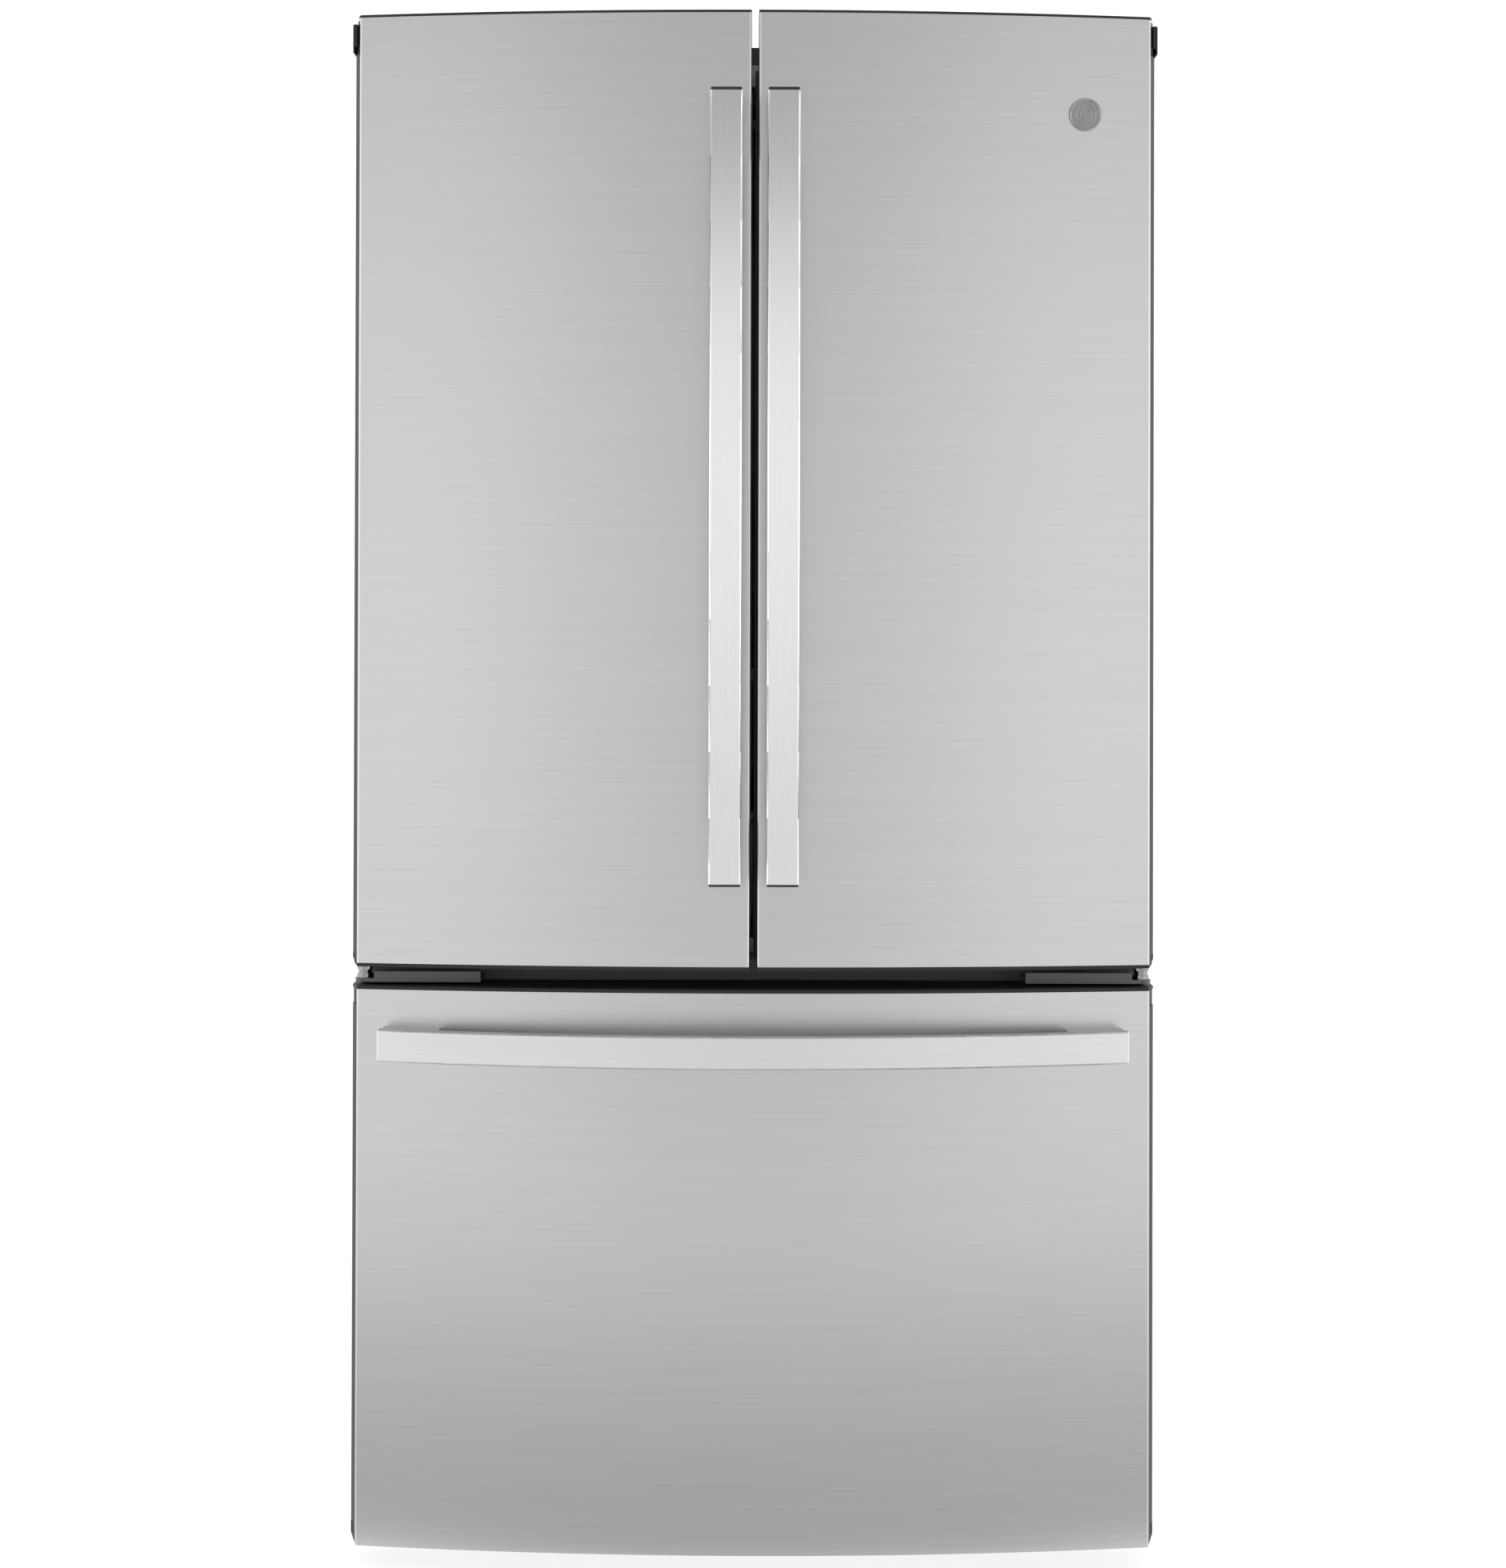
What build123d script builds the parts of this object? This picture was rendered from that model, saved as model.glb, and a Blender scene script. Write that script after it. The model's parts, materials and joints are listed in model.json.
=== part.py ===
"""French door refrigerator with a bottom freezer drawer, as an assembly of separate pieces.

Millimetres, +X to the right, +Y towards the back, +Z up. The origin is on the floor, at the middle
of the width and of the depth. Pieces of the left door are made first and mirrored for the right one.
"""

import os
from math import cos, radians, sin, sqrt

from build123d import *

os.makedirs("parts", exist_ok=True)

# ---------------------------------------------------------------- driving dimensions
# Doors and drawer front
door_span = 908.0  # width over both doors
door_gap = 8.0  # slot between the two doors
door_top = 1751.0
door_bottom = 677.0
drawer_top = 655.5
drawer_bottom = 26.0
door_edge_depth = 63.0  # thickness of a door at its side
door_bulge = 36.0  # how far the middle of the front stands before its sides
side_inset = 8.0  # the steel front is this much narrower than the door on each side
side_taper = 24.0  # depth over which a door widens behind its front
skin = 1.0  # steel sheet of the fronts
liner_plate = 3.0  # plastic inner panel of a door
gasket_gap = 12.0  # door back to cabinet front, filled by the gasket
touch = 0.3  # clearance where pieces of different bodies meet

# Cabinet
case_width = 902.0
case_depth = 746.0
case_top = 1730.0
case_bottom = 62.0
sheet = 1.0  # steel sheet of the case
side_wall = 38.0  # case outside to cavity
liner = 2.5  # plastic liner wall
fridge_ceiling = 1685.0
fridge_floor = 703.0
freezer_ceiling = 628.0
freezer_floor = 110.0
back_wall = 55.5  # case back to cavity back
bay_depth = 180.0  # machine bay behind the freezer
bay_top = 285.0
bay_wall = 42.5  # foam between the bay and the freezer
flange = 20.0  # folded front edge of the case

# Handles
bar_width = 36.0
bar_thickness = 14.0
handle_reach = 62.0  # front of the drawer handle before the middle of the drawer front
drawer_handle_length = 838.0
drawer_handle_sag = 57.5  # rise of its arc
drawer_handle_height = 593.0
door_handle_bottom = 775.0
door_handle_top = 1655.0
door_handle_sag = 12.0
door_handle_reach = 54.0
door_handle_x = 32.0  # middle of a bar from the middle of the object
mount_length = 64.0
mount_inset = 1.0  # the end blocks of the drawer handle stop this far inside the bar

# Hinges
pin_from_side = 14.0
pin_from_edge = 24.0
pin_radius = 4.0
run_fit = 0.05  # radial clearance of a pin in its bush
bush_radius = 7.0
bush_depth = 13.0  # of the lower bush
arm_half_width = 12.0
arm_thickness = 4.0
hinge_cover_height = 30.0

# Fridge fittings: heights above the fridge floor, depths behind the case front
drawer_set_back = 171.0  # front of the crispers and of the deli drawer
shelf_set_back = 121.0
glass = 4.0
frame_height = 10.0
shelf_rises = {-1: (475.0, 715.0), 1: (415.0, 635.0, 815.0)}
wall = 2.5  # bins, drawers and baskets
bin_reach = 108.0  # how far the door bins stand into the fridge
# Rise and height of each door bin, from the lowest up, for the left (-1) and the right (1) door
bin_rises = {
    -1: ((20.0, 115.0), (325.0, 120.0), (685.0, 125.0)),
    1: ((20.0, 115.0), (325.0, 120.0), (585.0, 120.0)),
}

# Freezer fittings
rail_z = 240.0
rail_height = 50.0
rail_play = 0.5
roller_radius = 20.0
axle_radius = 3.0

# ---------------------------------------------------------------- derived places
front_y = -(handle_reach + door_bulge + door_edge_depth + gasket_gap + case_depth) / 2 + handle_reach
edge_y = front_y + door_bulge
door_back = edge_y + door_edge_depth
case_front = door_back + gasket_gap
case_back = case_front + case_depth
side_x = door_span / 2
edge_x = side_x - side_inset
gap_x = door_gap / 2
front_radius = (edge_x**2 + door_bulge**2) / (2 * door_bulge)
case_x = case_width / 2
cavity_x = case_x - side_wall
cavity_back = case_back - back_wall
bay_front = case_back - bay_depth
freezer_back = bay_front - bay_wall - liner
pin_x = -(side_x - pin_from_side)
pin_y = edge_y + pin_from_edge
deck_z = door_top - 8.0  # top of a door behind its front lip
cap_bottom = door_top - 33.0
sill_top = door_bottom + 22.0
handle_front_y = front_y - handle_reach
drawer_front = case_front + drawer_set_back
shelf_front = case_front + shelf_set_back
shelf_back = cavity_back - 19.0
bin_back = door_back + bin_reach
shelf_heights = {side: [fridge_floor + rise for rise in rises] for side, rises in shelf_rises.items()}
bin_rows = {
    side: [(fridge_floor + rise, height) for rise, height in rows]
    for side, rows in bin_rises.items()
}


def surface_y(x):
    """Depth of the curved fronts at a distance x from the middle."""
    return front_y + front_radius - sqrt(front_radius**2 - x**2)


def block(x, y, z, mode=Mode.ADD):
    """A box between two places on each axis, given as (low, high) pairs."""
    with Locations(((x[0] + x[1]) / 2, (y[0] + y[1]) / 2, (z[0] + z[1]) / 2)):
        Box(abs(x[1] - x[0]), abs(y[1] - y[0]), abs(z[1] - z[0]), mode=mode)


def rod(centre, radius, length, axis="Z", mode=Mode.ADD):
    """A cylinder about its centre along X, Y or Z."""
    turn = {"X": (0, 90, 0), "Y": (90, 0, 0), "Z": (0, 0, 0)}[axis]
    with Locations(Location(centre, turn)):
        Cylinder(radius, length, mode=mode)


def save(shape, name):
    """Writes one piece, or one group of equal pieces, as its own STEP file."""
    shape.label = name
    export_step(shape, f"parts/{name}.step")


def mirrored(shape):
    """The same piece on the other side of the object."""
    return mirror(shape, about=Plane.YZ)


def both(shape):
    """A piece and its mirror image as one group."""
    return Compound(children=[*shape.solids(), *mirrored(shape).solids()])


def mirrored_group(solids):
    """A group of solids mirrored to the other side."""
    return Compound(children=[mirrored(s) for s in solids])


# ---------------------------------------------------------------- outlines of the fronts
# Plan of the left door: a curved front, a widening hinge side and a square slot side.
slot_x = -(edge_x + gap_x) / 2
with BuildSketch() as door_plan:
    with BuildLine():
        ThreePointArc((-edge_x, surface_y(edge_x)), (slot_x, surface_y(slot_x)), (-gap_x, surface_y(gap_x)))
        Polyline(
            (-gap_x, surface_y(gap_x)),
            (-gap_x, door_back),
            (-side_x, door_back),
            (-side_x, edge_y + side_taper),
            (-edge_x, surface_y(edge_x)),
        )
    make_face()

# Plan of the drawer front: the same curve over the full width, widening on both sides.
with BuildSketch() as drawer_plan:
    with BuildLine():
        ThreePointArc((-edge_x, edge_y), (0, front_y), (edge_x, edge_y))
        Polyline(
            (edge_x, edge_y),
            (side_x, edge_y + side_taper),
            (side_x, door_back),
            (-side_x, door_back),
            (-side_x, edge_y + side_taper),
            (-edge_x, edge_y),
        )
    make_face()


def slab(plan, bottom, top, inset=0.0, mode=Mode.ADD):
    """A plan made solid between two heights, drawn in all round by an inset."""
    with BuildPart(mode=Mode.PRIVATE) as piece:
        with BuildSketch(Plane.XY.offset(bottom)):
            add(plan.sketch)
            if inset:
                offset(amount=-inset, kind=Kind.INTERSECTION, mode=Mode.REPLACE)
        extrude(amount=top - bottom)
    add(piece.part, mode=mode)


trim_x = edge_x - 3.0  # inner face of the dark side trim
trim_y = edge_y + 3.0  # front of the dark side trim


# ---------------------------------------------------------------- left door
def make_skin(plan, bottom, top, sides):
    """Steel front sheet. It turns round the slot side, and stops just behind the edge on trimmed sides."""
    with BuildPart() as piece:
        slab(plan, bottom, top)
        corners = piece.edges().filter_by(Axis.Z).group_by(Axis.Y)[:-1]
        front = [e for group in corners for e in group if e.center().Y < edge_y + 1]
        fillet(front, radius=3.0)
        slab(plan, bottom, top, skin, Mode.SUBTRACT)
        block((-side_x - 1, side_x + 1), (door_back - skin - 0.5, door_back + 1), (bottom - 1, top + 1),
            Mode.SUBTRACT)
        for side in sides:
            outside = (side * (edge_x - skin - 2.5), side * (side_x + 1))
            block(outside, (trim_y, door_back + 1), (bottom - 1, top + 1), Mode.SUBTRACT)
    return piece.part


def make_core(plan, bottom, top, sides):
    """Rigid foam that fills a front between its sheet and its inner panel."""
    with BuildPart() as piece:
        slab(plan, bottom, top, skin)
        block((-side_x, side_x), (door_back - liner_plate, door_back + 1), (bottom - 1, top + 1),
            Mode.SUBTRACT)
        for side in sides:
            outside = (side * trim_x, side * (side_x + 1))
            block(outside, (trim_y, door_back + 1), (bottom - 1, top + 1), Mode.SUBTRACT)
        corners = piece.edges().filter_by(Axis.Z).filter_by(lambda e: e.center().Y < edge_y + 2.5)
        fillet(corners, radius=2.5)
    return piece.part


def make_side_trim(plan, side, bottom, top):
    """Dark strip that closes the outer side of a front."""
    with BuildPart() as piece:
        slab(plan, bottom, top)
        block((-side * (side_x + 1), side * trim_x), (front_y - 1, door_back + 1), (bottom - 1, top + 1),
            Mode.SUBTRACT)
        block((-side_x - 1, side_x + 1), (front_y - 1, trim_y), (bottom - 1, top + 1), Mode.SUBTRACT)
        shoulder = piece.edges().filter_by(Axis.Z).filter_by(
            lambda e: abs(e.center().Y - edge_y - side_taper) < 1 and abs(e.center().X) > side_x - 1
        )
        fillet(shoulder, radius=8.0)
    return piece.part


def cut_low_corner(side, bottom):
    """Rounds the outer lower corner of a front, from front to back."""
    radius = 10.0
    x = side * (side_x - radius)
    with BuildPart(mode=Mode.PRIVATE) as cutter:
        block((x, side * (side_x + 5)), (front_y - 1, door_back + 1), (bottom - 1, bottom + radius))
        rod((x, (front_y + door_back) / 2, bottom + radius), radius, 400, "Y", Mode.SUBTRACT)
    add(cutter.part, mode=Mode.SUBTRACT)


def make_top_cap():
    """Top end cap of the left door: a front lip before a lower deck, and a side skirt at the hinge."""
    with BuildPart() as piece:
        slab(door_plan, cap_bottom, door_top - 3.0, skin)
        slab(door_plan, door_top - 3.0, door_top)
        front = piece.edges().filter_by(Axis.Z).filter_by(lambda e: e.center().Y < edge_y + 2)
        fillet(front, radius=2.5)
        slab(door_plan, deck_z, door_top + 1, 4.0, Mode.SUBTRACT)
        block((-side_x - 1, -gap_x - 4), (edge_y + 8.0, door_back + 1), (deck_z, door_top + 1), Mode.SUBTRACT)
        skirt_y = (edge_y + 12, door_back - 4)
        block((-side_x - 2, -side_x), skirt_y, (deck_z - 33, deck_z))
        block((-side_x - 2, -side_x + 3), skirt_y, (cap_bottom, deck_z))
        skirt = piece.edges().filter_by(Axis.Y).filter_by(lambda e: e.center().X < -side_x - 1.9)
        fillet(skirt, radius=1.5)
        rod((pin_x, pin_y, deck_z - 20), bush_radius, 41, mode=Mode.SUBTRACT)
    return piece.part


def make_bottom_cap():
    """Bottom end cap of the left door, rounded where it meets the hinge side."""
    with BuildPart() as piece:
        slab(door_plan, door_bottom, door_bottom + 4.0)
        slab(door_plan, door_bottom + 4.0, sill_top, skin)
        block((-side_x, -trim_x), (edge_y + side_taper, door_back), (door_bottom, door_bottom + 14))
        cut_low_corner(-1, door_bottom)
        rod((pin_x, pin_y, door_bottom + bush_depth / 2), bush_radius, bush_depth + 1, mode=Mode.SUBTRACT)
    return piece.part


def make_bush(z_low, z_high):
    """Plastic bearing bush that a hinge pin turns in."""
    with BuildPart() as piece:
        with Locations((pin_x, pin_y, (z_low + z_high) / 2)):
            Cylinder(bush_radius, z_high - z_low)
            Cylinder(pin_radius + run_fit, z_high - z_low, mode=Mode.SUBTRACT)
    return piece.part


dike = 12.0  # thickness of the ridges that hold the bins
dike_depth = 45.0
outer_dike_x = cavity_x - 7.0  # outer face of the ridge beside the hinge
inner_dike_x = 68.0  # inner face of the ridge beside the slot
liner_low = fridge_floor + 11.0
liner_high = fridge_ceiling - 12.0


def make_door_liner():
    """Moulded inner panel: a plate with two ridges and a foot that carry the bins."""
    with BuildPart() as piece:
        block((-trim_x, -gap_x - skin), (door_back - liner_plate, door_back), (sill_top, cap_bottom))
        ridge = (door_back, door_back + dike_depth)
        block((-outer_dike_x, -outer_dike_x + dike), ridge, (liner_low, liner_high))
        block((-inner_dike_x - dike, -inner_dike_x), ridge, (liner_low, liner_high))
        tips = piece.edges().filter_by(Axis.Z).filter_by(lambda e: e.center().Y > door_back + dike_depth - 1)
        fillet(tips, radius=4.0)
    return piece.part


gasket_width = 18.0
gasket_depth = gasket_gap - touch


def frame_ring(outer_x, outer_z, width, y_low, y_high):
    """A rectangular ring in the XZ plane between two depths."""
    block(outer_x, (y_low, y_high), outer_z)
    inner_x = (outer_x[0] + width, outer_x[1] - width)
    inner_z = (outer_z[0] + width, outer_z[1] - width)
    block(inner_x, (y_low - 1, y_high + 1), inner_z, Mode.SUBTRACT)


door_gasket_z = (fridge_floor - 16.0, fridge_ceiling + 16.0)
drawer_gasket_z = (freezer_floor - 16.0, freezer_ceiling + 16.0)
gasket_outer_x = cavity_x + 16.0


def make_door_gasket(slot_side_x):
    """Magnetic gasket of the left door: a base on the inner panel and a softer bulb before the case."""
    with BuildPart() as piece:
        outer = (-gasket_outer_x, slot_side_x)
        frame_ring(outer, door_gasket_z, gasket_width, door_back, door_back + gasket_depth)
        bellows = (door_back + 4.0, door_back + 7.0)
        notch = 3.0
        block((outer[0] - 1, outer[1] + 1), bellows, (door_gasket_z[0] - 1, door_gasket_z[0] + notch),
            Mode.SUBTRACT)
        block((outer[0] - 1, outer[1] + 1), bellows, (door_gasket_z[1] - notch, door_gasket_z[1] + 1),
            Mode.SUBTRACT)
        block((outer[0] - 1, outer[0] + notch), bellows, door_gasket_z, Mode.SUBTRACT)
        block((outer[1] - notch, outer[1] + 1), bellows, door_gasket_z, Mode.SUBTRACT)
    return piece.part


def make_door_handle():
    """Bowed upright bar on two end blocks, as three solids."""
    bar_front = front_y - door_handle_reach
    half = (door_handle_top - door_handle_bottom) / 2
    middle_z = (door_handle_top + door_handle_bottom) / 2
    x = (-door_handle_x - bar_width / 2, -door_handle_x + bar_width / 2)
    end_front = bar_front + door_handle_sag
    with BuildPart() as bar:
        with BuildSketch(Plane.YZ.offset(x[0])):
            with BuildLine():
                ThreePointArc(
                    (end_front, middle_z - half), (bar_front, middle_z), (end_front, middle_z + half)
                )
                Line((end_front, middle_z + half), (end_front + bar_thickness, middle_z + half))
                ThreePointArc(
                    (end_front + bar_thickness, middle_z + half),
                    (bar_front + bar_thickness, middle_z),
                    (end_front + bar_thickness, middle_z - half),
                )
                Line((end_front + bar_thickness, middle_z - half), (end_front, middle_z - half))
            make_face()
        extrude(amount=bar_width)
        fillet(bar.edges().filter_by(lambda e: e.length > half), radius=2.0)
        ends = bar.edges().filter_by(Axis.X).filter_by(lambda e: e.center().Y < end_front + 1)
        chamfer(ends, length=1.6)
    pieces = [bar.part]
    for end in (-1, 1):
        with BuildPart() as post:
            z_out = middle_z + end * (half - 4)
            z_in = middle_z + end * (half - 4 - mount_length)
            rise = door_handle_sag * (1 - ((half - 4 - mount_length) / half) ** 2)
            back = surface_y(door_handle_x - bar_width / 2) + 0.2
            inset = 4.0
            with BuildSketch(Plane.YZ.offset(x[0] + inset)):
                Polygon(
                    (back, z_out),
                    (end_front + bar_thickness - 0.4, z_out),
                    (end_front - rise + bar_thickness - 0.4, z_in),
                    (back, z_in),
                    align=None,
                )
            extrude(amount=bar_width - 2 * inset)
            add(bar.part, mode=Mode.SUBTRACT)
            slab(door_plan, door_bottom, door_top, mode=Mode.SUBTRACT)
        pieces.append(post.part)
    return pieces


bin_x = (-outer_dike_x + dike, -inner_dike_x - dike)


def open_bin(x, y, z, thickness, corner):
    """A tub with rounded upright corners, open at the top."""
    middle = ((x[0] + x[1]) / 2, (y[0] + y[1]) / 2)
    width, depth = x[1] - x[0], y[1] - y[0]
    with BuildPart() as piece:
        with BuildSketch(Plane.XY.offset(z[0])):
            with Locations(middle):
                RectangleRounded(width, depth, corner)
        extrude(amount=z[1] - z[0])
        with BuildSketch(Plane.XY.offset(z[0] + thickness)):
            with Locations(middle):
                RectangleRounded(width - 2 * thickness, depth - 2 * thickness, corner - thickness)
        extrude(amount=z[1] - z[0], mode=Mode.SUBTRACT)
    return piece.part


lid_pin_y = door_back + 10.0
lid_pin_radius = 2.0
lid_gap = 3.0
dairy_z, dairy_height = bin_rows[-1][2]
lid_pin_z = dairy_z + dairy_height + 14.0
lid_ear = 6.0


def make_dairy_bin():
    """Top bin of the left door, with two ears that carry the lid's pins."""
    tub = open_bin(bin_x, (door_back + 1, bin_back), (dairy_z, dairy_z + dairy_height), wall, 12.0)
    with BuildPart() as piece:
        add(tub)
        for x in ((bin_x[0], bin_x[0] + lid_ear), (bin_x[1] - lid_ear, bin_x[1])):
            block(x, (lid_pin_y - 8, lid_pin_y + 8), (dairy_z + dairy_height - 30, lid_pin_z + 7))
        rod(((bin_x[0] + bin_x[1]) / 2, lid_pin_y, lid_pin_z), lid_pin_radius + run_fit, 400, "X",
            Mode.SUBTRACT)
    return piece.part


def make_dairy_lid():
    """Lid over the dairy bin: a top and a front flap that swing up on two pins."""
    inside = (bin_x[0] + lid_ear + lid_gap / 2, bin_x[1] - lid_ear - lid_gap / 2)
    lid_top = lid_pin_z + 6.0
    with BuildPart() as piece:
        block(inside, (lid_pin_y - 6, lid_pin_y + 6), (lid_pin_z - 6, lid_top))
        block(inside, (lid_pin_y, bin_back + 6), (lid_top - wall, lid_top))
        block((bin_x[0], bin_x[1]), (lid_pin_y + 12, bin_back + 6), (lid_top - wall, lid_top))
        block((bin_x[0], bin_x[1]), (bin_back + 6 - wall, bin_back + 6), (lid_top - 60, lid_top))
        outer = piece.edges().filter_by(Axis.X).filter_by(
            lambda e: e.center().Y > bin_back + 5.9 and e.center().Z > lid_top - 0.1
        )
        fillet(outer, radius=2.0)
        rod(((bin_x[0] + bin_x[1]) / 2, lid_pin_y, lid_pin_z), lid_pin_radius, bin_x[1] - bin_x[0] - 1, "X")
    return piece.part


def make_bins(side):
    """The three tubs of a door as one group."""
    made = []
    for row, (z, height) in enumerate(bin_rows[side]):
        if side == -1 and row == 2:
            made.append(make_dairy_bin())
        else:
            made.append(open_bin(bin_x, (door_back + 1, bin_back), (z, z + height), wall, 12.0))
    return made


door_sides = (-1,)
left_skin = make_skin(door_plan, door_bottom + 4.0, door_top - 3.0, door_sides)
left_core = make_core(door_plan, sill_top, cap_bottom, door_sides)
left_caps = [
    make_top_cap(),
    make_bottom_cap(),
    make_side_trim(door_plan, -1, door_bottom + 14.0, cap_bottom),
]
left_bushes = [make_bush(deck_z - 20, deck_z), make_bush(door_bottom, door_bottom + bush_depth)]
left_liner = make_door_liner()
left_handle = make_door_handle()


# ---------------------------------------------------------------- mullion flap on the left door
flap_depth = 22.0
flap_front = case_front + 0.5
flap_tip = -3.0
flap_round = flap_depth / 2
flap_pivot = (-52.0, flap_front + flap_round)
flap_z = (fridge_floor + 7.0, fridge_ceiling - 7.0)
flap_pin_radius = 3.0
lug_heights = (flap_z[0] + 70.0, flap_z[1] - 70.0)
lug_half = 5.0
lug_gap = 3.0
flap_pin_half = 22.0

lugs = []
for z in lug_heights:
    with BuildPart() as lug:
        block((flap_pivot[0] - 8, flap_pivot[0] + 8), (door_back, flap_pivot[1] + 8),
            (z - lug_half, z + lug_half))
        back_corners = lug.edges().filter_by(Axis.Z).group_by(Axis.Y)[-1]
        fillet(back_corners, radius=6.0)
        rod((*flap_pivot, z), flap_pin_radius, 2 * flap_pin_half)
    lugs.append(lug.part)

with BuildPart() as mullion_flap:
    height = flap_z[1] - flap_z[0]
    block((flap_pivot[0], flap_tip), (flap_front, flap_front + flap_depth), flap_z)
    rod((*flap_pivot, (flap_z[0] + flap_z[1]) / 2), flap_round, height)
    back_edge = mullion_flap.edges().filter_by(Axis.Z).sort_by(Axis.X)[-2:].sort_by(Axis.Y)[-1]
    fillet(back_edge, radius=5.0)
    for z in lug_heights:
        notch = (z - lug_half - lug_gap, z + lug_half + lug_gap)
        block((flap_pivot[0] - 20, flap_pivot[0] + 14), (flap_front - 1, flap_front + 30), notch,
            Mode.SUBTRACT)
        rod((*flap_pivot, z), flap_pin_radius + run_fit, 2 * flap_pin_half + 2, mode=Mode.SUBTRACT)
save(mullion_flap.part, "mullion_flap")

save(left_skin, "left_door_skin")
save(left_core, "left_door_core")
save(Compound(children=[*left_caps, *left_bushes]), "left_door_caps")
save(Compound(children=[left_liner, *lugs]), "left_door_liner")
save(make_door_gasket(-gap_x - 8.0), "left_door_gasket")
save(Compound(children=left_handle), "left_door_handle")
save(Compound(children=make_bins(-1)), "left_door_bins")
save(make_dairy_lid(), "dairy_lid")

save(mirrored(left_skin), "right_door_skin")
save(mirrored(left_core), "right_door_core")
save(mirrored_group([*left_caps, *left_bushes]), "right_door_caps")
save(mirrored(left_liner), "right_door_liner")
save(mirrored(make_door_gasket(-0.5)), "right_door_gasket")
save(mirrored_group(left_handle), "right_door_handle")
save(mirrored_group(make_bins(1)), "right_door_bins")

badge_x = 371.5
badge_z = door_top - 112.5
badge_radius = 18.5
badge_depth = 2.2
facing = Plane(
    origin=(badge_x, surface_y(badge_x), badge_z),
    x_dir=(front_radius, badge_x, 0),
    z_dir=(badge_x, -(front_radius + front_y - surface_y(badge_x)), 0),
)
with BuildPart(facing) as badge:
    Cylinder(badge_radius, badge_depth, align=(Align.CENTER, Align.CENTER, Align.MIN))
    with BuildSketch(facing.offset(badge_depth)):
        Circle(badge_radius - 2.0)
    extrude(amount=-0.8, mode=Mode.SUBTRACT)
save(badge.part, "right_door_badge")

# ---------------------------------------------------------------- freezer drawer front
drawer_sides = (-1, 1)
drawer_cap = 22.0  # height of the end caps inside the front
core_z = (drawer_bottom + drawer_cap, drawer_top - drawer_cap)
lip = 4.0
save(make_skin(drawer_plan, drawer_bottom, drawer_top - lip, drawer_sides), "drawer_skin")
save(make_core(drawer_plan, *core_z, drawer_sides), "drawer_core")

with BuildPart() as drawer_low_cap:
    slab(drawer_plan, drawer_bottom, core_z[0], skin)
    for side in drawer_sides:
        flush = (side * (side_x - 4), side * side_x)
        block(flush, (edge_y + side_taper, door_back), (drawer_bottom, core_z[0]))
        cut_low_corner(side, drawer_bottom)
with BuildPart() as drawer_high_cap:
    slab(drawer_plan, drawer_top - lip, drawer_top)
    slab(drawer_plan, core_z[1], drawer_top - lip, skin)
    top_edges = drawer_high_cap.faces().sort_by(Axis.Z)[-1].edges()
    chamfer(top_edges, length=1.0)
drawer_trims = [make_side_trim(drawer_plan, side, *core_z) for side in drawer_sides]
save(Compound(children=[drawer_low_cap.part, drawer_high_cap.part, *drawer_trims]), "drawer_caps")

with BuildPart() as drawer_liner:
    block((-trim_x, trim_x), (door_back - liner_plate, door_back), core_z)
    raised = (door_back, door_back + 6.0)
    inner_x = gasket_outer_x - gasket_width - 3
    block((-inner_x, inner_x), raised,
        (drawer_gasket_z[0] + gasket_width + 3, drawer_gasket_z[1] - gasket_width - 3))
save(drawer_liner.part, "drawer_liner")

with BuildPart() as drawer_gasket:
    outer = (-gasket_outer_x, gasket_outer_x)
    frame_ring(outer, drawer_gasket_z, gasket_width, door_back, door_back + gasket_depth)
    frame_cut = 3.0
    with BuildPart(mode=Mode.PRIVATE) as bellows:
        block((outer[0] - 1, outer[1] + 1), (door_back + 4, door_back + 7),
            (drawer_gasket_z[0] - 1, drawer_gasket_z[1] + 1))
        block(
            (outer[0] + frame_cut, outer[1] - frame_cut),
            (door_back + 3, door_back + 8),
            (drawer_gasket_z[0] + frame_cut, drawer_gasket_z[1] - frame_cut),
            Mode.SUBTRACT,
        )
    add(bellows.part, mode=Mode.SUBTRACT)
save(drawer_gasket.part, "drawer_gasket")

# Handle of the drawer: a bowed bar on two end blocks.
half_handle = drawer_handle_length / 2
bar_end_y = handle_front_y + drawer_handle_sag
bar_z = (drawer_handle_height - bar_width / 2, drawer_handle_height + bar_width / 2)
with BuildPart() as drawer_bar:
    with BuildSketch(Plane.XY.offset(bar_z[0])):
        with BuildLine():
            ThreePointArc((-half_handle, bar_end_y), (0, handle_front_y), (half_handle, bar_end_y))
            Line((half_handle, bar_end_y), (half_handle, bar_end_y + bar_thickness))
            ThreePointArc(
                (half_handle, bar_end_y + bar_thickness),
                (0, handle_front_y + bar_thickness),
                (-half_handle, bar_end_y + bar_thickness),
            )
            Line((-half_handle, bar_end_y + bar_thickness), (-half_handle, bar_end_y))
        make_face()
    extrude(amount=bar_width)
    fillet(drawer_bar.edges().filter_by(lambda e: e.length > half_handle), radius=2.0)
    chamfer(drawer_bar.edges().filter_by(Axis.Z).filter_by(lambda e: e.center().Y < bar_end_y + 1),
        length=1.6)
drawer_handle = [drawer_bar.part]
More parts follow.
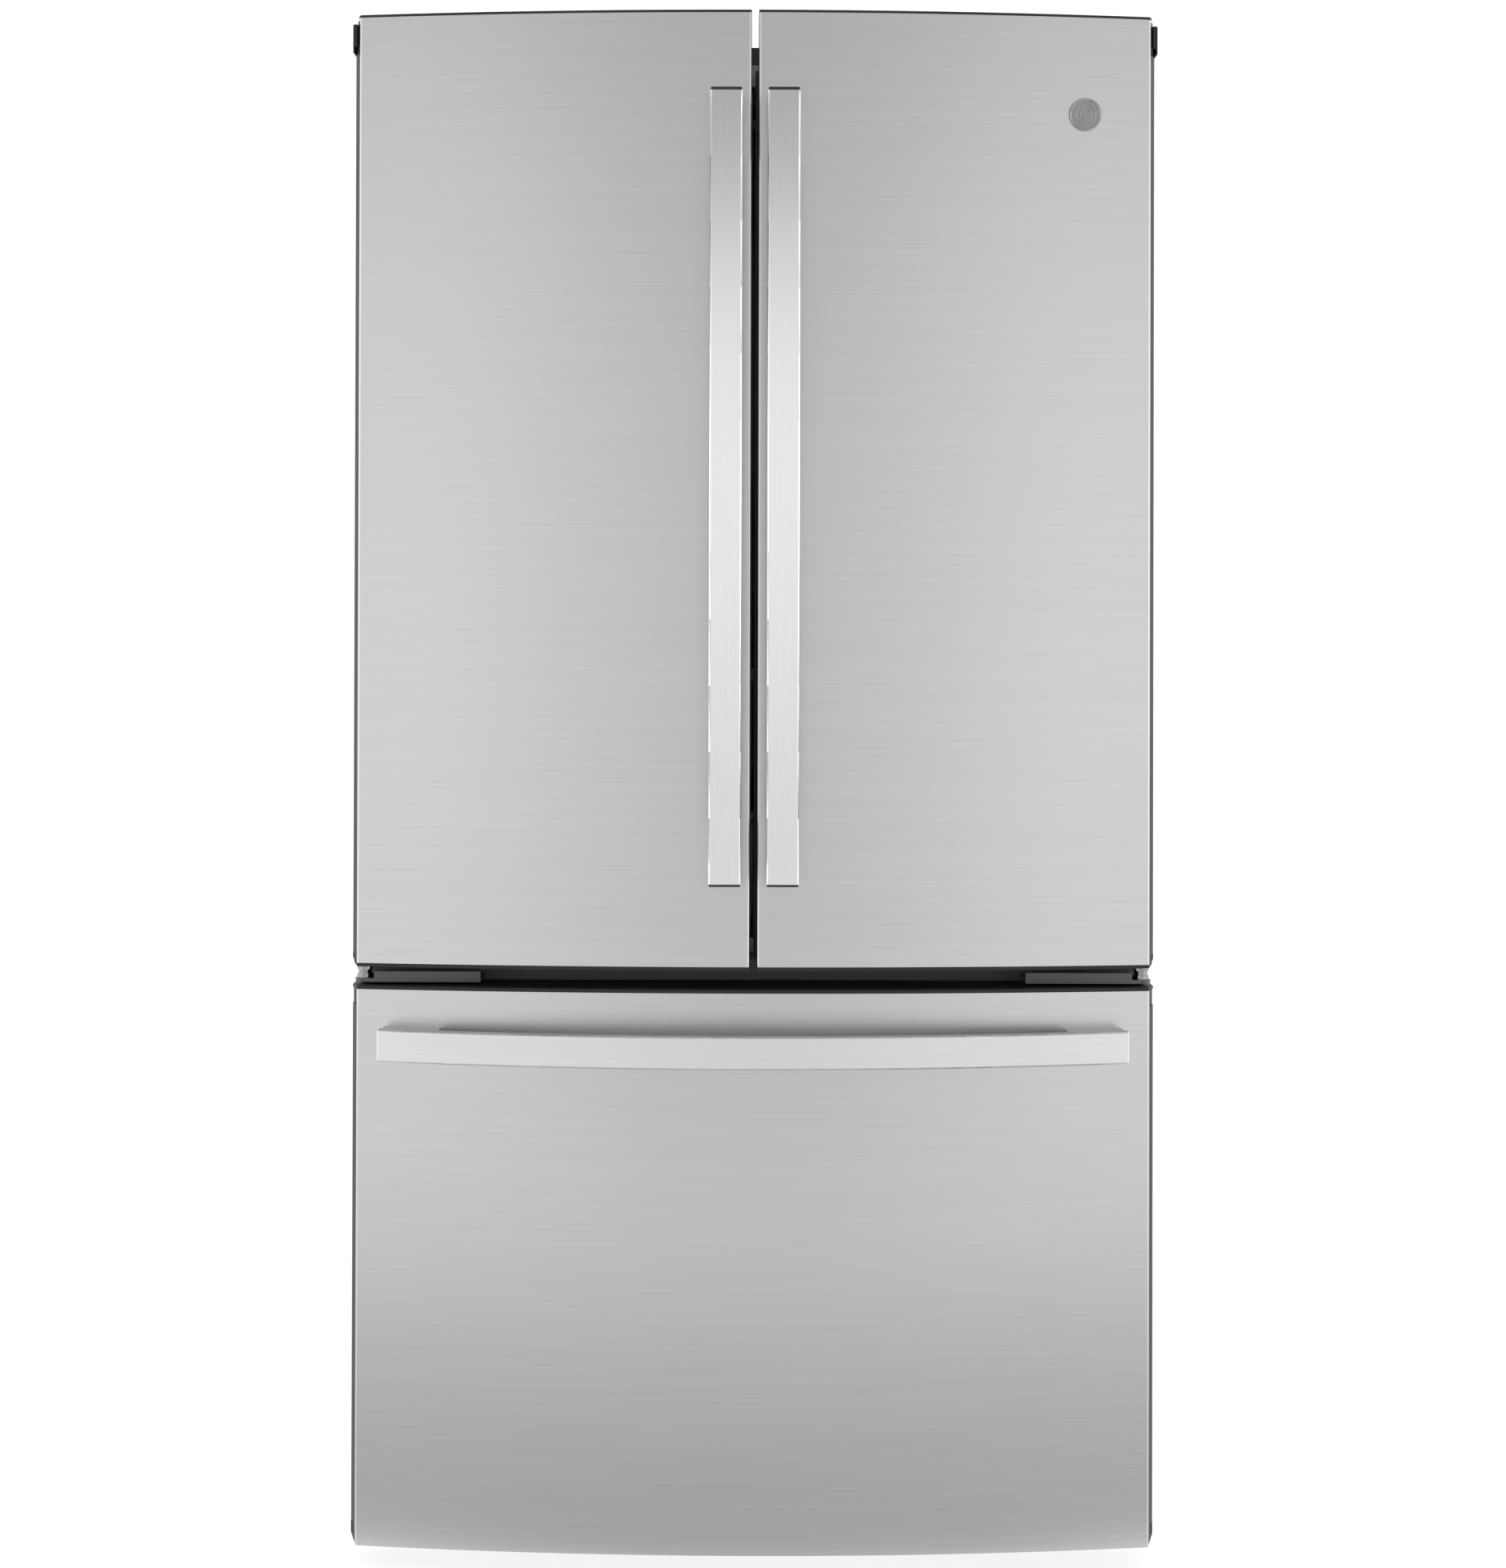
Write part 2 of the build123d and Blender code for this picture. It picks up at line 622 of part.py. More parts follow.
for side in (-1, 1):
    x_out = side * (half_handle - 4)
    x_in = side * (half_handle - 4 - mount_length)
    rise = drawer_handle_sag * (1 - ((half_handle - 4 - mount_length) / half_handle) ** 2)
    back = edge_y + 2
    with BuildPart() as post:
        with BuildSketch(Plane.XY.offset(bar_z[0] + mount_inset)):
            Polygon(
                (x_out, back),
                (x_out, bar_end_y + bar_thickness - 1.0),
                (x_in, bar_end_y - rise + bar_thickness - 1.0),
                (x_in, back),
                align=None,
            )
        extrude(amount=bar_width - 2 * mount_inset)
        add(drawer_bar.part, mode=Mode.SUBTRACT)
        slab(drawer_plan, drawer_bottom, drawer_top, mode=Mode.SUBTRACT)
    drawer_handle.append(post.part.solids().sort_by(SortBy.VOLUME)[-1])
save(Compound(children=drawer_handle), "drawer_handle")

# ---------------------------------------------------------------- cabinet shell
foam_front = case_front + 3.0
shell_x = case_x - sheet  # inside of the case
lined_x = cavity_x + liner  # outside of the liners
back_inside = case_back - sheet
step_low = bay_top + bay_wall  # top of the foam over the bay
step_floor = step_low + liner
lined_back = cavity_back + liner

with BuildPart() as wrapper:
    block((-case_x, case_x), (case_front, back_inside), (case_bottom, case_top))
    block((-shell_x, shell_x), (case_front + 1, case_back), (case_bottom - 1, case_top - sheet),
        Mode.SUBTRACT)
    opening = case_x - flange
    block((-opening, opening), (case_front - 1, case_front + 2), (case_bottom - 1, case_top - flange),
        Mode.SUBTRACT)
    fillet(wrapper.edges().filter_by(Axis.Y).group_by(Axis.Z)[-1], radius=3.0)
with BuildPart() as back_panel:
    block((-shell_x, shell_x), (back_inside, case_back), (bay_top + 5.5, case_top - sheet))
    for z in (bay_top + 60, (bay_top + case_top) / 2, case_top - 60):
        with Locations((0, case_back, z)):
            Box(2 * shell_x - 160, 0.8, 12, mode=Mode.SUBTRACT)
with BuildPart() as middle_rail:
    rail_x = case_x - flange - 0.5
    rail_z_range = (freezer_ceiling + 16.0, fridge_floor - 16.0)
    block((-rail_x, rail_x), (case_front, foam_front - 0.5), rail_z_range)
save(Compound(children=[wrapper.part, back_panel.part, middle_rail.part]), "outer_case")

# Foam between case and liners, as plain slabs.
slabs = (
    ((-shell_x, -lined_x), (foam_front, back_inside), (case_bottom, case_top - sheet)),
    ((lined_x, shell_x), (foam_front, back_inside), (case_bottom, case_top - sheet)),
    ((-lined_x, lined_x), (foam_front, back_inside), (fridge_ceiling + liner, case_top - sheet)),
    ((-lined_x, lined_x), (foam_front, lined_back), (freezer_ceiling + liner, fridge_floor - liner)),
    ((-lined_x, lined_x), (lined_back, back_inside), (step_low, fridge_ceiling + liner)),
    ((-lined_x, lined_x), (freezer_back + liner, back_inside), (bay_top, step_low)),
    ((-lined_x, lined_x), (freezer_back + liner, bay_front), (case_bottom, bay_top)),
    ((-lined_x, lined_x), (foam_front, freezer_back + liner), (case_bottom, freezer_floor - liner)),
)
foam = []
for x, y, z in slabs:
    with BuildPart() as foam_slab:
        block(x, y, z)
        if z[1] == case_top - sheet and y[1] == back_inside and abs(x[0] + x[1]) > 1:
            outer_top = foam_slab.edges().filter_by(Axis.Y).group_by(Axis.Z)[-1]
            fillet(outer_top.sort_by(lambda e: abs(e.center().X))[-1], radius=2.0)
    foam.append(foam_slab.part)
save(Compound(children=foam), "foam_insulation")

# Fridge liner: a moulded box with a front flange, and the guide block of the mullion flap.
with BuildPart() as fridge_liner:
    block((-lined_x, lined_x), (case_front, lined_back), (fridge_floor - liner, fridge_ceiling + liner))
    flange_x = case_x - flange - 0.5
    block((-flange_x, flange_x), (case_front, foam_front - 0.5),
        (fridge_floor - 15.5, case_top - flange - 0.5))
    block((-cavity_x, cavity_x), (case_front - 1, cavity_back), (fridge_floor, fridge_ceiling), Mode.SUBTRACT)
    upright = fridge_liner.edges().filter_by(Axis.Y).filter_by(lambda e: abs(e.length - cavity_back + case_front) < 1)
    fillet(upright, radius=2.0)
    block((flap_pivot[0] - 8, flap_tip - 6), (flap_front + 25, flap_front + 50),
        (flap_z[1] + 1.5, fridge_ceiling))
save(fridge_liner.part, "fresh_food_liner")

# Freezer liner, stepped over the machine bay.
with BuildPart() as freezer_liner:
    for out, half, mode in ((liner, lined_x, Mode.ADD), (0.0, cavity_x, Mode.SUBTRACT)):
        with BuildSketch(Plane.YZ.offset(-half)):
            Polygon(
                (case_front - (1 if mode == Mode.SUBTRACT else 0), freezer_floor - out),
                (freezer_back + out, freezer_floor - out),
                (freezer_back + out, step_floor - out),
                (cavity_back + out, step_floor - out),
                (cavity_back + out, freezer_ceiling + out),
                (case_front - (1 if mode == Mode.SUBTRACT else 0), freezer_ceiling + out),
                align=None,
            )
        extrude(amount=2 * half, mode=mode)
        if mode == Mode.ADD:
            flange_z = (case_bottom, freezer_ceiling + 15.5)
            block((-flange_x, flange_x), (case_front, foam_front - 0.5), flange_z)
save(freezer_liner.part, "freezer_liner")

# ---------------------------------------------------------------- base
rail_low = 42.0
base_sheet = 2.0
base_parts = []
wheel_x = 425.0
wheel_y = case_back - 60.0
wheel_half = 9.5
fork_gap = 1.0
fork = 3.0
foot_x = 400.0
foot_y = case_front + 36.0
foot_stem = 5.0
with BuildPart() as base_plate:
    block((-case_x, case_x), (case_front + 4.5, back_inside), (case_bottom - base_sheet, case_bottom))
base_parts.append(base_plate.part)
for side in (-1, 1):
    with BuildPart() as side_rail:
        block((side * 380, side * 446), (case_front + 8, case_back - 20),
            (rail_low, case_bottom - base_sheet))
        rod((side * foot_x, foot_y, rail_low + 8), foot_stem + run_fit, 16.2, mode=Mode.SUBTRACT)
    base_parts.append(side_rail.part)
    for near in (-1, 1):
        inner = side * wheel_x + near * (wheel_half + fork_gap)
        with BuildPart() as fork_plate:
            block((inner, inner + near * fork), (wheel_y - 16, wheel_y + 16), (roller_radius - 8, rail_low))
            lower = fork_plate.edges().filter_by(Axis.X).group_by(Axis.Z)[0]
            fillet(lower, radius=7.0)
            rod((inner, wheel_y, roller_radius), axle_radius, 20, "X", Mode.SUBTRACT)
        base_parts.append(fork_plate.part)
    with BuildPart() as axle:
        rod((side * wheel_x, wheel_y, roller_radius), axle_radius, 2 * (wheel_half + fork_gap + fork), "X")
    base_parts.append(axle.part)
with BuildPart() as cross_member:
    block((-380, 380), (case_front + 8, case_front + 30), (rail_low, case_bottom - base_sheet))
base_parts.append(cross_member.part)
save(Compound(children=base_parts), "base_frame")

for side, name in ((-1, "left_rear_roller"), (1, "right_rear_roller")):
    with BuildPart() as roller:
        rod((side * wheel_x, wheel_y, roller_radius), roller_radius, 2 * wheel_half, "X")
        fillet(roller.edges().filter_by(GeomType.CIRCLE), radius=2.0)
        rod((side * wheel_x, wheel_y, roller_radius), axle_radius + run_fit, 2 * wheel_half, "X",
            Mode.SUBTRACT)
    save(roller.part, name)

for side, name in ((-1, "left_levelling_foot"), (1, "right_levelling_foot")):
    with BuildPart() as foot:
        with Locations((side * foot_x, foot_y, 0)):
            Cylinder(18.0, 8.0, align=(Align.CENTER, Align.CENTER, Align.MIN))
            fillet(foot.edges().group_by(Axis.Z)[-1], radius=2.0)
            Cylinder(foot_stem, 57.0, align=(Align.CENTER, Align.CENTER, Align.MIN))
        with BuildSketch(Plane.XY.offset(8.0)):
            with Locations((side * foot_x, foot_y)):
                RegularPolygon(11.0, 6)
        extrude(amount=12.0)
    save(foot.part, name)

with BuildPart() as grille:
    block((-448, 448), (case_front, case_front + 4), (14.0, case_bottom - 0.3))
    slots = [(x, case_front, z) for x in range(-400, 401, 20) for z in (30.0, 46.0)]
    with Locations(slots):
        Box(12, 20, 9, mode=Mode.SUBTRACT)
save(grille.part, "toe_grille")

# ---------------------------------------------------------------- hinges
hinge_top = deck_z + 1.0 + arm_thickness
cover_y = (case_front, case_front + 95.0)
arms = []
with BuildPart() as top_hinge:
    with BuildSketch(Plane.XY.offset(deck_z + 1.0)):
        with BuildLine():
            reach = arm_half_width
            Polyline(
                (pin_x + reach, pin_y),
                (pin_x + reach + 48, case_front + 1),
                (pin_x + reach + 48, case_front + 30),
                (pin_x + 16, case_front + 30),
                (pin_x + 16, case_front + 1),
                (pin_x - reach, pin_y),
            )
            ThreePointArc((pin_x - reach, pin_y), (pin_x, pin_y - reach), (pin_x + reach, pin_y))
        make_face()
    extrude(amount=arm_thickness)
    block((pin_x + 16, pin_x + reach + 48), (case_front + 1, case_front + 30), (case_top, deck_z + 1.0))
    block((pin_x + 10, pin_x + 80), (case_front + 30, cover_y[1] - 10), (case_top, case_top + 5))
    rod((pin_x, pin_y, (hinge_top + deck_z - 16) / 2), pin_radius, hinge_top - deck_z + 16)
arms.append(top_hinge.part)

washer_radius = 9.0
washer_low = drawer_top + 7.0
with BuildPart() as middle_hinge:
    bracket_low = drawer_top + 3.0
    bar_y = pin_y - 15.5
    with BuildSketch(Plane.XY.offset(bracket_low)):
        with BuildLine():
            Polyline(
                (pin_x, pin_y - 11),
                (pin_x + 12, bar_y),
                (-308, bar_y),
                (-308, case_front),
                (-430, case_front),
                (pin_x - 11, pin_y),
            )
            ThreePointArc(
                (pin_x - 11, pin_y), (pin_x - 11 * sin(radians(45)), pin_y - 11 * cos(radians(45))),
                (pin_x, pin_y - 11)
            )
        make_face()
    extrude(amount=washer_low - bracket_low)
    block((pin_x + 12, -308), (bar_y, bar_y + 4), (bracket_low, bracket_low + 12))
    pin_top = door_bottom + bush_depth - 1
    rod((pin_x, pin_y, (bracket_low + pin_top) / 2), pin_radius, pin_top - bracket_low)
arms.append(middle_hinge.part)
save(Compound(children=[*arms, *[mirrored(a) for a in arms]]), "hinge_brackets")

with BuildPart() as washers:
    stack = door_bottom - touch - washer_low
    for step in range(3):
        low = washer_low + step * stack / 3
        rod((pin_x, pin_y, low + stack / 6), washer_radius - 1.5 * (step == 1), stack / 3)
    rod((pin_x, pin_y, washer_low + stack / 2), pin_radius, stack, mode=Mode.SUBTRACT)
save(both(washers.part), "hinge_washers")

with BuildPart() as hinge_cover:
    cover_x = (pin_x - 4, pin_x + 90)
    block(cover_x, (cover_y[0] + 0.5, cover_y[1]), (case_top, case_top + hinge_cover_height))
    upper = hinge_cover.faces().sort_by(Axis.Z)[-1].edges()
    fillet(upper, radius=6.0)
    block((cover_x[0] + 2.5, cover_x[1] - 2.5), (cover_y[0] - 1, cover_y[1] - 2.5),
        (case_top - 1, deck_z + 8), Mode.SUBTRACT)
save(both(hinge_cover.part), "hinge_covers")

# ---------------------------------------------------------------- fridge fittings
with BuildPart() as control_panel:
    with BuildSketch(Plane.YZ.offset(-180)):
        panel_low = fridge_ceiling - 28.0
        Polygon((-190, fridge_ceiling), (-160, panel_low), (40, panel_low + 6), (70, fridge_ceiling),
            align=None)
    extrude(amount=360)
    block((-130, 130), (-120, 20), (panel_low - 12, panel_low + 12), Mode.SUBTRACT)
with BuildPart() as lamp_lens:
    block((-129.5, 129.5), (-119.5, 19.5), (panel_low + 7, panel_low + 11.5))
save(Compound(children=[control_panel.part, lamp_lens.part]), "control_panel")

track_depth = 12.0
track_x = (130.0, cavity_x - 18.0)
track_z = (fridge_floor + 330.0, fridge_ceiling - 50.0)
shelf_arm = 3.0
with BuildPart() as track:
    for x in track_x:
        block((x - 8, x + 8), (cavity_back - track_depth, cavity_back), (track_z[0], track_z[1]))
    slot_count = int((track_z[1] - track_z[0] - 30) / 20)
    slot_z = [track_z[0] + 15 + 20 * i for i in range(slot_count)]
    with Locations([(x, cavity_back - track_depth, z) for x in track_x for z in slot_z]):
        Box(4, 6, 9, mode=Mode.SUBTRACT)
save(both(track.part), "shelf_tracks")

ledge = 7.0
pocket = 0.2
shelf_x = (6.0, cavity_x - 5.0)
frames = []
panes = []
for side in (-1, 1):
    for z in shelf_heights[side]:
        with BuildPart() as shelf_frame:
            block(shelf_x, (shelf_front, shelf_back), (z, z + frame_height))
            fillet(shelf_frame.edges().filter_by(Axis.X).filter_by(lambda e: e.center().Y < shelf_front + 1), radius=3.0)
            inner = (shelf_x[0] + ledge, shelf_x[1] - ledge)
            inner_y = (shelf_front + ledge, shelf_back - ledge)
            block(inner, inner_y, (z + frame_height - glass, z + frame_height + 1), Mode.SUBTRACT)
            deep = (inner[0] + ledge, inner[1] - ledge)
            deep_y = (inner_y[0] + ledge, inner_y[1] - ledge)
            block(deep, deep_y, (z - 1, z + frame_height), Mode.SUBTRACT)
        frames.append(shelf_frame.part if side > 0 else mirrored(shelf_frame.part))
        for x in track_x:
            tip = cavity_back - track_depth
            with BuildPart() as arm:
                with BuildSketch(Plane.YZ.offset(side * x - shelf_arm / 2)):
                    Polygon((tip, z - 34), (tip, z), (shelf_front + 60, z), (shelf_front + 60, z - 8),
                        align=None)
                extrude(amount=shelf_arm)
            frames.append(arm.part)
        with BuildPart() as pane:
            fit_x = (inner[0] + pocket, inner[1] - pocket)
            block(fit_x, (inner_y[0] + pocket, inner_y[1] - pocket),
                (z + frame_height - glass, z + frame_height))
        panes.append(pane.part if side > 0 else mirrored(pane.part))

deli_z = (fridge_floor + 7.0, fridge_floor + 121.0)
base_z = deli_z[1] + 6.0
crisper_z = (base_z + 10.0, base_z + 162.0)
cover_z = crisper_z[1] + 12.0
half = cavity_x - 1.0
with BuildPart() as cover_frame:
    block((-half, half), (drawer_front, shelf_back), (cover_z, cover_z + 8))
    block((-half + 12, -6), (drawer_front + 12, shelf_back - 12), (cover_z - 1, cover_z + 9), Mode.SUBTRACT)
    block((6, half - 12), (drawer_front + 12, shelf_back - 12), (cover_z - 1, cover_z + 9), Mode.SUBTRACT)
    block((-half + 6, half - 6), (drawer_front + 6, shelf_back - 6), (cover_z + 4, cover_z + 9),
        Mode.SUBTRACT)
    block((-half, half), (drawer_front, drawer_front + 3.0), (cover_z - 8, cover_z))
    for x in (-220.0, 220.0):
        block((x - 45, x + 45), (drawer_front - 1, drawer_front + 4), (cover_z - 5.2, cover_z - 1.2),
            Mode.SUBTRACT)
frames.append(cover_frame.part)
bars = [((-half, half), y) for y in ((drawer_front, drawer_front + 12), (shelf_back - 12, shelf_back))]
bars += [(x, (drawer_front + 12, shelf_back - 12)) for x in ((-half, -half + 12), (-6, 6), (half - 12, half))]
for x, y in bars:
    with BuildPart() as bar:
        block(x, y, (base_z, base_z + 8))
    frames.append(bar.part)
with BuildPart() as cover_pane:
    block((-half + 6.2, half - 6.2), (drawer_front + 6.2, shelf_back - 6.2), (cover_z + 4, cover_z + 8))
panes.append(cover_pane.part)
with BuildPart() as deli_runner:
    block((370, cavity_x - 3), (drawer_front + 5, shelf_back - 12), (fridge_floor, deli_z[0]))
frames += [deli_runner.part, mirrored(deli_runner.part)]
save(Compound(children=frames), "shelf_frames")
save(Compound(children=panes), "glass_shelves")

slider_z = (cover_z - 5.0, cover_z - 1.4)
for x, name in ((-220.0, "left_humidity_slider"), (220.0, "right_humidity_slider")):
    with BuildPart() as slider:
        block((x - 10, x + 10), (drawer_front - 0.5, drawer_front + 3.5), slider_z)
        block((x - 13, x + 13), (drawer_front - 4.5, drawer_front - 0.5), (cover_z - 7.5, cover_z + 1))
        block((x - 13, x + 13), (drawer_front + 3.5, drawer_front + 5.5), (cover_z - 7.5, cover_z - 0.5))
    save(slider.part, name)


def make_drawer(x, z, front_lean):
    """A clear tub with a thicker front, a finger lip and rounded upright corners."""
    y = (drawer_front, shelf_back - 10)
    tub = open_bin(x, y, z, wall, 14.0)
    with BuildPart() as piece:
        add(tub)
        block((x[0] + 14, x[1] - 14), (y[0] - front_lean, y[0] + 1), (z[1] - 26, z[1]))
        block((x[0] + 40, x[1] - 40), (y[0] - front_lean - 1, y[0] - 4), (z[1] - 27, z[1] - 6), Mode.SUBTRACT)
    return piece.part


crisper = make_drawer((5.0, cavity_x - 4.0), crisper_z, 14.0)
save(both(crisper), "crispers")
save(make_drawer((-cavity_x + 6, cavity_x - 6), deli_z, 16.0), "deli_drawer")

with BuildPart() as air_duct:
    duct_z = (cover_z + 20.0, fridge_ceiling - 30.0)
    duct_front = cavity_back - 18.0
    block((-105, 105), (duct_front, cavity_back), duct_z)
    fillet(air_duct.edges().filter_by(Axis.Z).group_by(Axis.Y)[0], radius=8.0)
    vents = [(x, duct_front, duct_z[0] + 60 + 150 * i) for x in (-60, 60) for i in range(4)]
    with Locations(vents):
        Box(60, 8, 12, mode=Mode.SUBTRACT)
save(air_duct.part, "air_duct")

# ---------------------------------------------------------------- freezer fittings
fan_z = freezer_ceiling - 68.0
fan_radius = 46.0
cover_front = cavity_back - 78.0
shaft = 2.5
with BuildPart() as evaporator_cover:
    block((-cavity_x + 1, cavity_x - 1), (cover_front, cover_front + 3),
        (step_floor + 1, freezer_ceiling - 1))
    rod((0, cover_front, fan_z), fan_radius + 4, 20, "Y", Mode.SUBTRACT)
    for x in (-46, -23, 0, 23, 46):
        block((x - 1.5, x + 1.5), (cover_front, cover_front + 2), (fan_z - 54, fan_z + 54))
    return_slots = [(x, cover_front, z) for x in range(-360, 361, 40) for z in (step_floor + 18,
        step_floor + 32)]
    with Locations(return_slots):
        Box(28, 20, 7, mode=Mode.SUBTRACT)
    block((-5, 5), (cover_front + 36, cover_front + 40), (fan_z - 62, fan_z + 62))
    block((-5, 5), (cover_front + 3, cover_front + 40), (fan_z - 62, fan_z - 56))
    block((-5, 5), (cover_front + 3, cover_front + 40), (fan_z + 56, fan_z + 62))
    rod((0, cover_front + 32, fan_z), 16, 12, "Y")
    rod((0, cover_front + 20, fan_z), shaft, 26, "Y")
save(evaporator_cover.part, "evaporator_cover")


def make_fan(centre, radius, depth, hub, shaft_radius, axis):
    """Four pitched blades on a hub with a bore, turning about one axis."""
    up = {"X": Plane.YZ, "Y": Plane.XZ}[axis]
    with BuildPart(Plane(origin=centre, x_dir=up.x_dir, z_dir=up.z_dir)) as piece:
        with PolarLocations(0, 4):
            with Locations(Location(((radius + hub) / 2 - 2, 0, 0), (28, 0, 0))):
                Box(radius - hub + 2, radius * 0.75, 1.5)
        Cylinder(radius, depth, mode=Mode.INTERSECT)
        Cylinder(hub, depth)
        Cylinder(shaft_radius + run_fit, depth, mode=Mode.SUBTRACT)
    return piece.part


fan = make_fan((0, cover_front + 14, fan_z), fan_radius - 2, 16, 10, shaft, "Y")
save(fan, "evaporator_fan")

with BuildPart() as evaporator_coil:
    coil_y = (cover_front + 12, cavity_back - 10)
    for x in range(-330, 331, 30):
        block((x - 0.5, x + 0.5), coil_y, (step_floor + 8, freezer_ceiling - 150))
    tube_z = [step_floor + 24 + 24 * i for i in range(5)]
    for z in tube_z:
        for y in (cover_front + 28, cavity_back - 26):
            rod((0, y, z), 4, 700, "X")
save(evaporator_coil.part, "evaporator_coil")


def make_tub(x, y, z, mode_slots):
    """Open freezer tub with a rolled rim and two rows of side slots."""
    tub = open_bin(x, y, z, wall, 16.0)
    with BuildPart() as piece:
        add(tub)
        with Locations(mode_slots):
            Box(4 * wall + 2 * abs(x[0]), 14, 50, mode=Mode.SUBTRACT)
    return piece.part


basket_z = (freezer_ceiling - 204.0, freezer_ceiling - 74.0)
basket_y = (case_front + 70.0, cover_front - 26.0)
basket_x = cavity_x - 12.0
basket_slots = [(0, y, basket_z[0] + 75) for y in range(-160, 256, 35)]
save(make_tub((-basket_x, basket_x), basket_y, basket_z, basket_slots), "upper_basket")

bin_top = basket_z[0] - 36.0
bin_half = 380.0
tub_y = (door_back + 6.0, freezer_back - 8.0)
low_slots = [(0, y, bin_top - 70) for y in range(-200, 181, 38)]
lower_bin = make_tub((-bin_half, bin_half), tub_y, (122.0, bin_top), low_slots)

rail_length = 500.0
rail_front = case_front + 8.0
rail_span = (rail_front, rail_front + rail_length)
rail_top = rail_z + rail_height
lip_t = 3.0
with BuildPart() as outer_rail:
    block((cavity_x - 3, cavity_x), rail_span, (rail_z, rail_top))
    block((cavity_x - 14, cavity_x), rail_span, (rail_z, rail_z + lip_t))
    block((cavity_x - 14, cavity_x), rail_span, (rail_top - lip_t, rail_top))
with BuildPart() as runner_ledge:
    block((cavity_x - 24, cavity_x), (-270.0, cover_front - 4), (basket_z[0] - 6, basket_z[0] - 0.4))
outer = [outer_rail.part, runner_ledge.part]
save(Compound(children=[*outer, *[mirrored(r) for r in outer]]), "slide_outer_rails")
with BuildPart() as middle_slide:
    low = rail_z + lip_t + rail_play
    high = rail_top - lip_t - rail_play
    block((cavity_x - 7, cavity_x - 3 - rail_play), rail_span, (low, high))
    block((cavity_x - 19, cavity_x - 3 - rail_play), rail_span, (low, low + lip_t))
    block((cavity_x - 19, cavity_x - 3 - rail_play), rail_span, (high - lip_t, high))
save(both(middle_slide.part), "slide_middle_rails")
with BuildPart() as inner_slide:
    low = rail_z + 2 * (lip_t + rail_play)
    high = rail_top - 2 * (lip_t + rail_play)
    block((bin_half + 3, cavity_x - 7 - rail_play), (door_back + 6, rail_span[1]), (low, high))
    block((bin_half, bin_half + 3), (door_back + 6, rail_span[1] - 40), (low - 18, high + 18))
save(both(inner_slide.part), "slide_inner_rails")
save(lower_bin, "lower_bin")

with BuildPart() as ice_maker:
    tray = (freezer_ceiling - 40.0, freezer_ceiling - 20.0)
    block((-cavity_x + 8, -240), (60, 300), (tray[0] - 10, freezer_ceiling))
    block((-cavity_x + 14, -246), (66, 294), tray, Mode.SUBTRACT)
    for y in range(90, 291, 26):
        block((-cavity_x + 14, -246), (y - 1, y + 1), tray)
    fillet(ice_maker.edges().filter_by(Axis.Z).filter_by(lambda e: e.length > 40), radius=4.0)
save(ice_maker.part, "ice_maker")

# ---------------------------------------------------------------- machine bay
pan_z = case_bottom
with BuildPart() as compressor:
    with Locations((-230, case_back - 92, pan_z + 88)):
        Cylinder(72, 118)
    fillet(compressor.edges().filter_by(GeomType.CIRCLE), radius=30.0)
    block((-320, -140), (case_back - 122, case_back - 62), (pan_z + 14, pan_z + 34))
    with Locations([(x, case_back - 92 + y, pan_z + 7) for x in (-308, -152) for y in (-20, 20)]):
        Cylinder(8, 14)
save(compressor.part, "compressor")

with BuildPart() as condenser_coil:
    for x in range(90, 331, 12):
        block((x - 0.5, x + 0.5), (case_back - 150, case_back - 40), (pan_z + 24, pan_z + 170))
    for z in range(6):
        for y in (case_back - 130, case_back - 95, case_back - 60):
            rod((210, y, pan_z + 40 + 23 * z), 3.5, 270, "X")
save(condenser_coil.part, "condenser_coil")

bay_fan = (20.0, case_back - 92.0, pan_z + 100.0)
with BuildPart() as shroud:
    block((40, 44), (bay_front + 4, case_back - 8), (pan_z, bay_top - 6))
    rod((42, bay_fan[1], bay_fan[2]), 66, 20, "X", Mode.SUBTRACT)
    block((56, 60), (bay_fan[1] - 6, bay_fan[1] + 6), (bay_fan[2] - 76, bay_fan[2] + 76))
    for z in (-76, 70):
        block((44, 60), (bay_fan[1] - 6, bay_fan[1] + 6), (bay_fan[2] + z, bay_fan[2] + z + 6))
    rod((46, bay_fan[1], bay_fan[2]), 18, 26, "X")
    rod((20, bay_fan[1], bay_fan[2]), shaft, 30, "X")
drip_pan = open_bin((70, 350), (bay_front + 8, case_back - 14), (pan_z, pan_z + 20), wall, 10.0)
with BuildPart() as cord_inlet:
    rod((-390, case_back - 2.5, 150), 11, 5, "Y")
    rod((-390, case_back - 12, 150), 8, 24, "Y")
    rod((-390, case_back - 6, 150), 4.5, 40, "Y", Mode.SUBTRACT)
save(Compound(children=[shroud.part, drip_pan, cord_inlet.part]), "bay_plastic_parts")
save(make_fan(bay_fan, 62, 20, 14, shaft, "X"), "condenser_fan")

valve_x = 385.0
inlet_radius = 6.0
inlet_length = 12.0
inlet_window = 26.0
with BuildPart() as water_valve:
    body_back = case_back - 4 - inlet_length
    block((valve_x - 18, valve_x + 18), (body_back - 46, body_back), (pan_z + 60, pan_z + 100))
    rod((valve_x, body_back - 22, pan_z + 112), 14, 24)
    rod((valve_x, body_back + inlet_length / 2, pan_z + 80), inlet_radius, inlet_length, "Y")
    block((valve_x - 10, valve_x + 10), (body_back - 46, body_back - 6), (pan_z, pan_z + 60))
save(water_valve.part, "water_valve")

